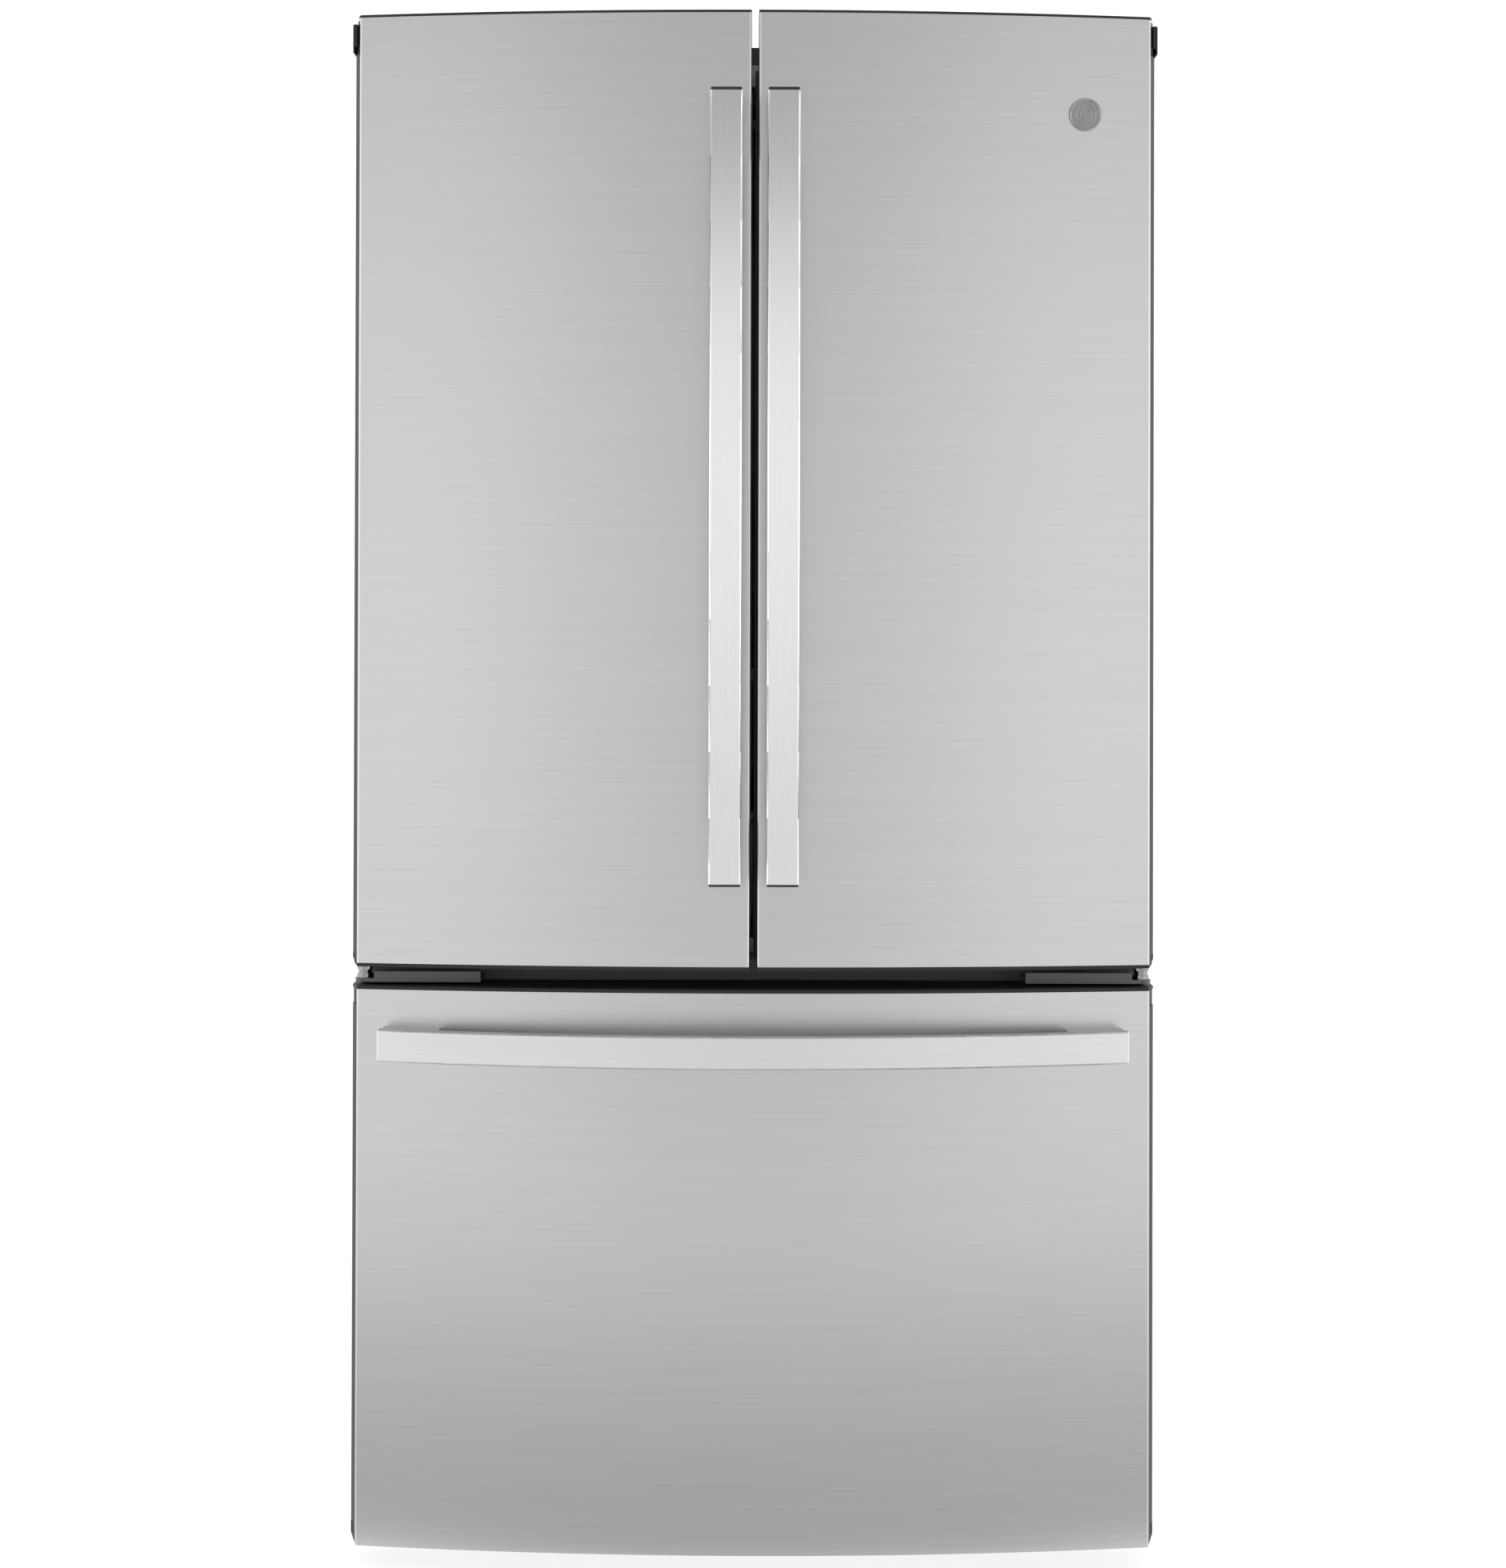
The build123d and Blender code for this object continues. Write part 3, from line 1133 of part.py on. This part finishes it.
with BuildPart() as rear_cover:
    block((-shell_x, shell_x), (back_inside, case_back), (case_bottom + 1, bay_top + 5))
    with Locations([(x, case_back, z) for x in range(60, 341, 16) for z in (120.0, 180.0, 240.0)]):
        Box(6, 10, 40, mode=Mode.SUBTRACT)
    with Locations([(x, case_back, 230.0) for x in range(-340, -119, 16)]):
        Box(6, 10, 60, mode=Mode.SUBTRACT)
    with Locations((valve_x, case_back, pan_z + 80)):
        Box(2 * inlet_window, 10, 2 * inlet_window, mode=Mode.SUBTRACT)
    rod((-390, case_back, 150), 11.2, 10, "Y", Mode.SUBTRACT)
save(rear_cover.part, "rear_access_cover")
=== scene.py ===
"""Looks of the french door refrigerator: finishes, small fittings, studio light and camera. Metres."""

import json
from math import cos, pi, radians, sin

import bmesh
import bpy
from mathutils import Matrix, Vector

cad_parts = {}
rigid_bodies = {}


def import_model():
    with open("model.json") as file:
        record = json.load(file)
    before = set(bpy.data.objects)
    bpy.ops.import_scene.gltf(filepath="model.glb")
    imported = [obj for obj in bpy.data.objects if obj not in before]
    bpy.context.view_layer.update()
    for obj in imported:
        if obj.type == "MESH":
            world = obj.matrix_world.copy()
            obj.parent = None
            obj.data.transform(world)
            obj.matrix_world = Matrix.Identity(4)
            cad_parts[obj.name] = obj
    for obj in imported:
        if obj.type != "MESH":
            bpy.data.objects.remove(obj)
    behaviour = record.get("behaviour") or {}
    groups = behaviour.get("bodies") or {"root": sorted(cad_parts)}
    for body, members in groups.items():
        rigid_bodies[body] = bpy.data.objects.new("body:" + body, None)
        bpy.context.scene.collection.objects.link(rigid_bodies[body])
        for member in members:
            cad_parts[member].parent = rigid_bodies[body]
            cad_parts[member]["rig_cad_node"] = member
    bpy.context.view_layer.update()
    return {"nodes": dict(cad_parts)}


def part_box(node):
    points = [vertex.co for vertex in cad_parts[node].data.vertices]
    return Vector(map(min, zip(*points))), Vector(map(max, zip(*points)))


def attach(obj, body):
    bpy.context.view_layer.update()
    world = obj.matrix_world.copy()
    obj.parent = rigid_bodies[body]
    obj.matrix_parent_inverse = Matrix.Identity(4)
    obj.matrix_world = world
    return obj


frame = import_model()
nodes = frame["nodes"]


# ---------------------------------------------------------------- shader helpers
class Value:
    """One output socket. Python's operators on it add Math nodes."""

    def __init__(self, tree, socket):
        self.tree = tree
        self.socket = socket

    def math(self, operation, first, second=None):
        values = {0: first} if second is None else {0: first, 1: second}
        return self.tree.node("ShaderNodeMath", {"operation": operation}, values)

    def __add__(self, other):
        return self.math("ADD", self, other)

    def __radd__(self, other):
        return self.math("ADD", other, self)

    def __sub__(self, other):
        return self.math("SUBTRACT", self, other)

    def __rsub__(self, other):
        return self.math("SUBTRACT", other, self)

    def __mul__(self, other):
        return self.math("MULTIPLY", self, other)

    def __rmul__(self, other):
        return self.math("MULTIPLY", other, self)

    def __pow__(self, other):
        return self.math("POWER", self, other)

    def __abs__(self):
        return self.math("ABSOLUTE", self)

    def wave(self):
        """The sine of this value."""
        return self.math("SINE", self)


class Tree:
    """A node tree with one method that adds any node."""

    def __init__(self, node_tree):
        self.tree = node_tree

    def node(self, kind, settings=None, inputs=None, output=0):
        made = self.tree.nodes.new(kind)
        for name, value in (settings or {}).items():
            if name == "stops":
                self.set_stops(made.color_ramp, value)
            else:
                setattr(made, name, value)
        for name, value in (inputs or {}).items():
            self.feed(made.inputs[name], value)
        return Value(self, made.outputs[output])

    def feed(self, socket, value):
        if isinstance(value, Value):
            self.tree.links.new(value.socket, socket)
        else:
            socket.default_value = value

    def set_stops(self, ramp, stops):
        while len(ramp.elements) < len(stops):
            ramp.elements.new(0.5)
        for element, (place, colour) in zip(ramp.elements, stops):
            element.position = place
            element.color = colour if len(colour) == 4 else (*colour, 1)

    def axes(self, vector):
        """The three parts of a vector."""
        parts = self.tree.nodes.new("ShaderNodeSeparateXYZ")
        self.tree.links.new(vector.socket, parts.inputs[0])
        return [Value(self, s) for s in parts.outputs]

    def smooth(self, value, low, high, bottom=0.0, top=1.0):
        """Smooth change from bottom to top while value runs from low to high."""
        settings = {"interpolation_type": "SMOOTHSTEP"}
        inputs = {0: value, 1: low, 2: high, 3: bottom, 4: top}
        return self.node("ShaderNodeMapRange", settings, inputs)

    def mix(self, factor, first, second):
        """Two colours mixed by a factor."""
        settings = {"data_type": "RGBA", "blend_type": "MIX"}
        return self.node("ShaderNodeMix", settings, {0: factor, 6: first, 7: second}, 2)


class Finish(Tree):
    """A material round one Principled shader, with patterns that read Object coordinates."""

    def __init__(self, name, **uniform):
        self.material = bpy.data.materials.new(name)
        self.material.use_nodes = True
        super().__init__(self.material.node_tree)
        self.shader = self.tree.nodes["Principled BSDF"]
        for words, value in uniform.items():
            self.shader.inputs[words.replace("_", " ")].default_value = value
        self.place = self.node("ShaderNodeTexCoord", output=3)

    def stretched(self, scale, move=(0, 0, 0)):
        """Object coordinates scaled and moved."""
        inputs = {0: self.place, "Location": move, "Scale": scale}
        return self.node("ShaderNodeMapping", {"vector_type": "POINT"}, inputs)

    def noise(self, scale, detail=2.0, rough=0.5, vector=None):
        """Noise from 0 to 1, over the object or over a given vector."""
        inputs = {"Scale": scale, "Detail": detail, "Roughness": rough}
        inputs["Vector"] = vector or self.place
        return self.node("ShaderNodeTexNoise", None, inputs)

    def cells(self, scale, output=0):
        """Voronoi cells: distance, or their colour."""
        inputs = {"Scale": scale, "Vector": self.place}
        return self.node("ShaderNodeTexVoronoi", {"feature": "F1"}, inputs, output)

    def paint(self, factor, dark, light):
        self.feed(self.shader.inputs["Base Color"], self.mix(factor, (*dark, 1), (*light, 1)))

    def rough(self, value):
        self.feed(self.shader.inputs["Roughness"], value)

    def relief(self, height, depth, strength=1.0):
        """Bump of a real depth in metres."""
        bump = self.node("ShaderNodeBump", None, {"Height": height, "Distance": depth, "Strength": strength})
        self.feed(self.shader.inputs["Normal"], bump)


# ---------------------------------------------------------------- finishes
def brushed(name, dark, light, base_rough, grain_axis):
    """Steel with short fine grain along one axis, soft clouds and a faint long waviness."""
    along, across = 11.0, 1500.0
    stretch = {"X": (along, along, across), "Z": (across, across, along)}[grain_axis]
    made = Finish(name, Metallic=1.0, IOR=2.4)
    fine = made.noise(1.0, 3.0, 0.65, made.stretched(stretch))
    strokes = made.noise(1.0, 2.0, 0.5, made.stretched([s * 0.32 for s in stretch], move=(3, 5, 7)))
    clouds = made.noise(3.2, 3.0, 0.5)
    grain = fine * 0.55 + strokes * 0.45
    made.paint(made.smooth(grain, 0.30, 0.70) * 0.75 + clouds * 0.25, dark, light)
    made.rough(base_rough - 0.03 + grain * 0.06 + (clouds - 0.5) * 0.03)
    made.relief(grain, 0.000008, 0.3)
    return made.material


def moulded(name, dark, light, base_rough, stipple_depth, stipple=1500.0, **uniform):
    """Moulded plastic with spark-eroded stipple, slow tone changes and a little dust."""
    made = Finish(name, **uniform)
    grains = made.noise(stipple, 2.0, 0.6)
    tone = made.noise(7.0, 4.0, 0.6)
    dust = made.smooth(made.noise(140.0, 4.0, 0.7), 0.56, 0.75)
    made.paint(tone * 0.6 + grains * 0.25 + dust * 0.15, dark, light)
    made.rough(base_rough - 0.05 + tone * 0.08 + dust * 0.07)
    made.relief(grains, stipple_depth, 0.6)
    return made.material


def painted(name, dark, light, base_rough, peel_depth):
    """Baked paint on sheet steel: orange peel, fine speckle and slight sheen changes."""
    made = Finish(name, Metallic=0.0, Coat_Weight=0.15, Coat_Roughness=0.3)
    peel = made.noise(420.0, 2.0, 0.45)
    speckle = made.noise(2600.0, 1.0, 0.5)
    tone = made.noise(2.2, 3.0, 0.5)
    made.paint(made.smooth(speckle, 0.35, 0.7) * 0.5 + tone * 0.5, dark, light)
    made.rough(base_rough - 0.04 + tone * 0.08)
    made.relief(peel * 0.8 + speckle * 0.2, peel_depth, 0.55)
    return made.material


def galvanised(name, dark, light, base_rough, spangle):
    """Zinc coated steel: pale spangle with each crystal at its own tone and gloss."""
    made = Finish(name, Metallic=0.9)
    crystal = made.axes(made.cells(spangle, 1))[0]
    frost = made.noise(spangle * 9, 3.0, 0.6)
    made.paint(crystal * 0.6 + frost * 0.4, dark, light)
    made.rough(base_rough - 0.08 + crystal * 0.14 + frost * 0.06)
    made.relief(frost, 0.00003, 0.4)
    return made.material


def clear(name, tint, base_rough, ior, solidity):
    """Clear moulded plastic or glass: see-through by its solidity, with flow lines and wear."""
    made = Finish(name, IOR=ior)
    flow = made.noise(1.0, 3.0, 0.5, made.stretched((5, 5, 26)))
    wear = made.smooth(made.noise(60.0, 4.0, 0.65), 0.5, 0.8)
    made.paint(flow, [c * 0.97 for c in tint], tint)
    made.rough(base_rough + wear * 0.06)
    made.feed(made.shader.inputs["Alpha"], solidity + wear * 0.06 + flow * 0.03)
    made.relief(flow, 0.00012, 0.35)
    return made.material


def foam_finish():
    made = Finish("polyurethane_foam")
    bubbles = made.cells(900.0)
    skin_tone = made.noise(22.0, 4.0, 0.6)
    made.paint(skin_tone * 0.6 + bubbles * 0.5, (0.52, 0.43, 0.22), (0.84, 0.76, 0.50))
    made.rough(0.86 + skin_tone * 0.08)
    made.relief(bubbles, 0.0006, 0.8)
    return made.material


def rubber_finish():
    made = Finish("gasket_rubber")
    fine = made.noise(1900.0, 2.0, 0.5)
    bloom = made.smooth(made.noise(18.0, 4.0, 0.65), 0.45, 0.75)
    made.paint(bloom * 0.5 + fine * 0.3, (0.20, 0.205, 0.21), (0.36, 0.365, 0.37))
    made.rough(0.62 + bloom * 0.12)
    made.relief(fine, 0.00004, 0.6)
    return made.material


def polished_finish(name, dark, light, centre, base_rough):
    """Turned bright metal: fine rings round a centre, with a soft haze."""
    made = Finish(name, Metallic=1.0)
    moved = made.stretched((1, 1, 1), move=[-c for c in centre])
    x, _, z = made.axes(moved)
    rings = ((x * x + z * z) ** 0.5 * 9000.0).wave()
    haze = made.noise(90.0, 3.0, 0.6)
    made.paint(rings * 0.2 + haze * 0.6 + 0.2, dark, light)
    made.rough(base_rough + haze * 0.06)
    made.relief(rings, 0.00001, 0.25)
    return made.material


badge_middle = sum(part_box("right_door_badge"), Vector()) / 2
finishes = {
    "stainless": brushed("door_steel", (0.565, 0.572, 0.585), (0.625, 0.631, 0.642), 0.30, "X"),
    "handle_steel": brushed("handle_steel_grain", (0.900, 0.906, 0.914), (0.945, 0.951, 0.959), 0.18, "Z"),
    "case_paint": painted("case_grey_paint", (0.085, 0.088, 0.09), (0.125, 0.128, 0.131), 0.42, 0.00007),
    "dark_trim": moulded(
        "dark_trim_plastic", (0.030, 0.031, 0.032), (0.055, 0.056, 0.058), 0.50, 0.00005,
        Specular_IOR_Level=0.12,
    ),
    "foam": foam_finish(),
    "white_liner": moulded(
        "white_liner_plastic", (0.80, 0.81, 0.815), (0.90, 0.905, 0.91), 0.24, 0.00003, 420.0, Coat_Weight=0.2
    ),
    "clear_plastic": clear("clear_bin_plastic", (0.78, 0.84, 0.86), 0.06, 1.49, 0.20),
    "shelf_glass": clear("shelf_glass_clear", (0.60, 0.74, 0.69), 0.03, 1.52, 0.22),
    "gasket": rubber_finish(),
    "bright_metal": polished_finish(
        "bright_metal_turned", (0.42, 0.425, 0.43), (0.56, 0.565, 0.57), badge_middle, 0.16
    ),
    "zinc_steel": galvanised("zinc_plated_steel", (0.50, 0.51, 0.53), (0.74, 0.75, 0.77), 0.36, 190.0),
    "light_grey_plastic": moulded(
        "light_grey_plastic_fine", (0.58, 0.59, 0.60), (0.70, 0.71, 0.72), 0.38, 0.00003
    ),
    "black_plastic": moulded(
        "black_plastic_fine", (0.012, 0.012, 0.013), (0.035, 0.035, 0.037), 0.44, 0.00004
    ),
    "black_paint": painted("black_enamel", (0.010, 0.010, 0.011), (0.026, 0.026, 0.028), 0.30, 0.00006),
    "fin_aluminium": galvanised("fin_aluminium_sheet", (0.66, 0.67, 0.69), (0.84, 0.85, 0.86), 0.32, 900.0),
    "back_cover": galvanised("galvanised_back_sheet", (0.36, 0.37, 0.385), (0.56, 0.57, 0.585), 0.42, 75.0),
}
special = {
    # Drawer bar: the bar steel painted darker than the upright bars, as painted shade.
    "drawer_handle": brushed("drawer_bar_steel_painted_shade", (0.71, 0.716, 0.725), (0.76, 0.766, 0.775), 0.39, "X"),
    # Hinge washers: bright metal painted dark grey, as a painted dark reflection.
    "hinge_washers": brushed("polished_washers_painted_dark_reflection", (0.24, 0.24, 0.25), (0.38, 0.38, 0.39), 0.13, "X"),
    "right_door_badge": polished_finish(
        "badge_satin_metal", (0.27, 0.275, 0.28), (0.36, 0.365, 0.37), badge_middle, 0.30
    ),
}
for part in nodes.values():
    slot_name = part.data.materials[0].name.split(".")[0]
    part.data.materials.clear()
    part.data.materials.append(special.get(part["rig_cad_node"], finishes[slot_name]))


# ---------------------------------------------------------------- small fittings
def piece(name, bm, slot_name, body, material=None):
    """Turns a finished bmesh into a piece that moves with a body."""
    bmesh.ops.remove_doubles(bm, verts=bm.verts, dist=0.00001)
    bmesh.ops.recalc_face_normals(bm, faces=bm.faces)
    mesh = bpy.data.meshes.new(name)
    bm.to_mesh(mesh)
    bm.free()
    mesh.materials.append(material or finishes[slot_name])
    made = bpy.data.objects.new(name, mesh)
    bpy.context.scene.collection.objects.link(made)
    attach(made, body)
    return made


def add_bar(bm, low, high, radius, segments=2):
    """A box between two corners with all its edges rounded."""
    low, high = Vector(low), Vector(high)
    size = high - low
    place = Matrix.Translation((low + high) / 2) @ Matrix.Diagonal((*size, 1))
    corners = bmesh.ops.create_cube(bm, size=1.0, matrix=place)["verts"]
    edges = list({e for v in corners for e in v.link_edges})
    bmesh.ops.bevel(
        bm, geom=edges, offset=radius, segments=segments, affect="EDGES", profile=0.5, material=-1
    )


def add_screw(bm, place, facing, radius):
    """A tapered screw head with a round socket, facing along a direction."""
    height = radius * 0.45
    turn = Vector((0, 0, 1)).rotation_difference(Vector(facing)).to_matrix().to_4x4()
    start = set(bm.verts)
    bmesh.ops.create_cone(
        bm, cap_ends=True, segments=24, radius1=radius, radius2=radius * 0.72, depth=height,
        matrix=Matrix.Translation((0, 0, height / 2)),
    )
    head = [v for v in bm.verts if v not in start]
    top = max({f for v in head for f in v.link_faces}, key=lambda f: f.calc_center_median().z)
    bmesh.ops.inset_region(bm, faces=[top], thickness=radius * 0.3)
    bmesh.ops.translate(bm, verts=top.verts, vec=(0, 0, -height * 0.6))
    bmesh.ops.inset_region(bm, faces=[top], thickness=radius * 0.02)
    fresh = [v for v in bm.verts if v not in start]
    bmesh.ops.transform(bm, matrix=Matrix.Translation(place) @ turn, verts=fresh)


def add_ring(bm, place, facing, radius, tube):
    """A round-section ring facing along a direction."""
    turn = Vector((0, 0, 1)).rotation_difference(Vector(facing)).to_matrix().to_4x4()
    start = set(bm.verts)
    section = bmesh.ops.create_circle(
        bm, segments=12, radius=tube,
        matrix=Matrix.Translation((radius, 0, 0)) @ Matrix.Rotation(pi / 2, 4, "X"),
    )["verts"]
    loop = list({e for v in section for e in v.link_edges})
    bmesh.ops.spin(
        bm, geom=section + loop, cent=(0, 0, 0), axis=(0, 0, 1), angle=2 * pi, steps=72, use_merge=True
    )
    fresh = [v for v in bm.verts if v not in start]
    bmesh.ops.transform(bm, matrix=Matrix.Translation(place) @ turn, verts=fresh)


# Raised rim and plain rings of the round badge.
badge = nodes["right_door_badge"]
to_world = badge.matrix_world.to_3x3()
facing = Vector((0, 0, 0))
for face in badge.data.polygons:
    if (to_world @ face.normal).y < -0.9:
        facing += to_world @ face.normal * face.area
facing.normalize()
reach = max(facing.dot(badge.matrix_world @ v.co) for v in badge.data.vertices)
badge_face = badge_middle + facing * (reach - facing.dot(badge_middle))
ring_sizes = ((0.0172, 0.0009), (0.0112, 0.0005), (0.0062, 0.0005))  # radius and thickness
ring_sink = 0.0002
rings = bmesh.new()
for radius, tube in ring_sizes:
    add_ring(rings, badge_face - facing * ring_sink, facing, radius, tube)
piece("badge_rings", rings, "bright_metal", "right_door")

def spread(low, high, inset, index, count):
    """Place of one of several equally spaced fittings, or the middle for a single one."""
    if count == 1:
        return (low + high) / 2
    return low + inset + (high - low - 2 * inset) * index / (count - 1)


# Screws of the toe grille, the evaporator cover and the air duct, all facing forward.
for node_name, rows, columns, inset, radius in (
    ("toe_grille", 1, 4, 0.020, 0.0035),
    ("evaporator_cover", 2, 3, 0.018, 0.0040),
    ("air_duct", 3, 2, 0.014, 0.0032),
):
    low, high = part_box(node_name)
    screws = bmesh.new()
    for row in range(rows):
        z = spread(low.z, high.z, inset, row, rows)
        for column in range(columns):
            x = spread(low.x, high.x, inset, column, columns)
            add_screw(screws, (x, low.y + 0.0002, z), (0, -1, 0), radius)
    piece(node_name + "_screws", screws, "zinc_steel", "cabinet")

# Display window and keys on the front of the control panel.
window_half = (0.034, 0.0075)
key_half = (0.009, 0.0050)
first_key, key_pitch = 0.056, 0.026
sunk = 0.0010
panel_low, panel_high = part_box("control_panel")
panel_x, panel_z = (panel_low.x + panel_high.x) / 2, (panel_low.z + panel_high.z) / 2
window = bmesh.new()
add_bar(
    window, (panel_x - window_half[0], panel_low.y - 0.0008, panel_z - window_half[1]),
    (panel_x + window_half[0], panel_low.y + sunk, panel_z + window_half[1]), 0.0007, 3,
)
piece("control_panel_window", window, "black_plastic", "cabinet")
keys = bmesh.new()
for side in (-1, 1):
    for step in range(3):
        key_x = panel_x + side * (first_key + key_pitch * step)
        add_bar(
            keys, (key_x - key_half[0], panel_low.y - 0.0012, panel_z - key_half[1]),
            (key_x + key_half[0], panel_low.y + sunk, panel_z + key_half[1]), 0.0010, 3,
        )
piece("control_panel_keys", keys, "light_grey_plastic", "cabinet")

# Dark end plugs that close the upright bars.
for side, body in ((-1, "left_door"), (1, "right_door")):
    bar_low, bar_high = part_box(body + "_handle")
    middle_x = (bar_low.x + bar_high.x) / 2
    half_width = (bar_high.x - bar_low.x) / 2 - 0.0006
    plugs = bmesh.new()
    bar_front = bar_low.y + 0.0125
    add_bar(
        plugs, (middle_x - half_width, bar_front, bar_high.z - 0.0012),
        (middle_x + half_width, bar_front + 0.012, bar_high.z + 0.0022), 0.0016, 3,
    )
    add_bar(
        plugs, (middle_x - half_width, bar_front, bar_low.z - 0.0012),
        (middle_x + half_width, bar_front + 0.012, bar_low.z + 0.0008), 0.0008, 3,
    )
    piece(body + "_handle_plugs", plugs, "dark_trim", body)

# ---------------------------------------------------------------- studio
# Floor that turns up into a backdrop behind the object.
sweep = bmesh.new()
front_floor, back_floor, half_floor, wall_top, bend = -2.6, 3.4, 7.0, 6.0, 1.2
start = sweep.verts.new((-half_floor, front_floor, 0))
end = sweep.verts.new((half_floor, front_floor, 0))
edge = sweep.edges.new((start, end))


def pull(edges, move):
    """Extrudes edges and moves the new ones."""
    grown = bmesh.ops.extrude_edge_only(sweep, edges=edges)["geom"]
    bmesh.ops.translate(sweep, verts=[g for g in grown if isinstance(g, bmesh.types.BMVert)], vec=move)
    return [g for g in grown if isinstance(g, bmesh.types.BMEdge)]


rim = pull([edge], (0, back_floor - front_floor - bend, 0))
steps = 12
for i in range(steps):
    before, after = radians(90 * i / steps), radians(90 * (i + 1) / steps)
    rim = pull(rim, (0, bend * (sin(after) - sin(before)), bend * (cos(before) - cos(after))))
pull(rim, (0, 0, wall_top - bend))
floor_mesh = bpy.data.meshes.new("sweep")
sweep.to_mesh(floor_mesh)
sweep.free()
for face in floor_mesh.polygons:
    face.use_smooth = True
floor = bpy.data.objects.new("sweep", floor_mesh)
bpy.context.scene.collection.objects.link(floor)
paper = Finish("backdrop_paper", Roughness=0.9, Emission_Strength=1.0, Specular_IOR_Level=0.0)
across, depth, _ = paper.axes(paper.place)
# Painted soft shadow on the floor in front of the object: the glow drops from 0.86 to 0.36 there, fading out
# sideways and towards the front.
painted_shadow = paper.smooth(depth, -0.50, -0.42, 1.0, 0.0)
painted_shadow = painted_shadow * paper.smooth(abs(across), 0.9, 1.8, 1.0, 0.0) * paper.smooth(depth, -2.6, -1.0)
fibres = paper.noise(40.0, 4.0, 0.6)
paper.paint(fibres, (0.34, 0.34, 0.34), (0.36, 0.36, 0.36))
# Emission colour: an even glow, with the painted shadow in front of the object.
glow_with_painted_shadow = paper.mix(painted_shadow, (0.86, 0.86, 0.86, 1), (0.36, 0.36, 0.36, 1))
paper.feed(paper.shader.inputs["Emission Color"], glow_with_painted_shadow)
floor_mesh.materials.append(paper.material)

# Light of the room: bright soft walls left and right of the camera, dimmer overhead.
world = bpy.data.worlds.new("studio_room")
bpy.context.scene.world = world
world.use_nodes = True
room = Tree(world.node_tree)
background = world.node_tree.nodes["Background"]
direction = room.node("ShaderNodeTexCoord", output=0)
toward_x, _, toward_z = room.axes(direction)
height_ramp = {
    "stops": [
        (0.330, (0.80,) * 3),
        (0.413, (0.88,) * 3),
        (0.456, (0.93,) * 3),
        (0.500, (1.00,) * 3),
        (0.526, (1.02,) * 3),
        (0.572, (0.98,) * 3),
        (0.592, (0.88,) * 3),
        (0.612, (0.60,) * 3),
        (0.630, (0.40,) * 3),
        (0.671, (0.36,) * 3),
        (1.000, (0.60,) * 3),
    ]
}
level = room.node("ShaderNodeValToRGB", height_ramp, {0: toward_z * 0.5 + 0.5})
side_ramp = {
    "stops": [
        (0.00, (0.415,) * 3),
        (0.15, (0.465,) * 3),
        (0.32, (0.640,) * 3),
        (0.42, (0.640,) * 3),
        (0.58, (0.470,) * 3),
        (0.76, (0.780,) * 3),
        (1.00, (0.900,) * 3),
    ]
}
below_is_dimmer = room.smooth(toward_z, -0.2, 0.1, 1.86, 2.06)
sideways = room.node("ShaderNodeValToRGB", side_ramp, {0: abs(toward_x)}) * below_is_dimmer
room.feed(background.inputs["Color"], level)
room.feed(background.inputs["Strength"], sideways)

# ---------------------------------------------------------------- camera
camera_data = bpy.data.cameras.new("camera")
camera_data.sensor_width = 36.0
camera_data.lens = 68.937
camera_data.shift_x = 0.004997
camera_data.shift_y = -0.10714
camera_data.clip_end = 100.0
camera = bpy.data.objects.new("camera", camera_data)
bpy.context.scene.collection.objects.link(camera)
yaw, pitch, roll = 0.000332, 0.007976, -0.002608
aim = Matrix.Rotation(yaw, 4, "Z") @ Matrix.Rotation(pitch, 4, "X") @ Matrix.Rotation(roll, 4, "Y")
camera.matrix_world = (
    Matrix.Translation((-0.008795, -3.749212, 1.046053)) @ aim @ Matrix.Rotation(pi / 2, 4, "X")
)
bpy.context.scene.camera = camera
bpy.context.scene.view_settings.view_transform = "Standard"
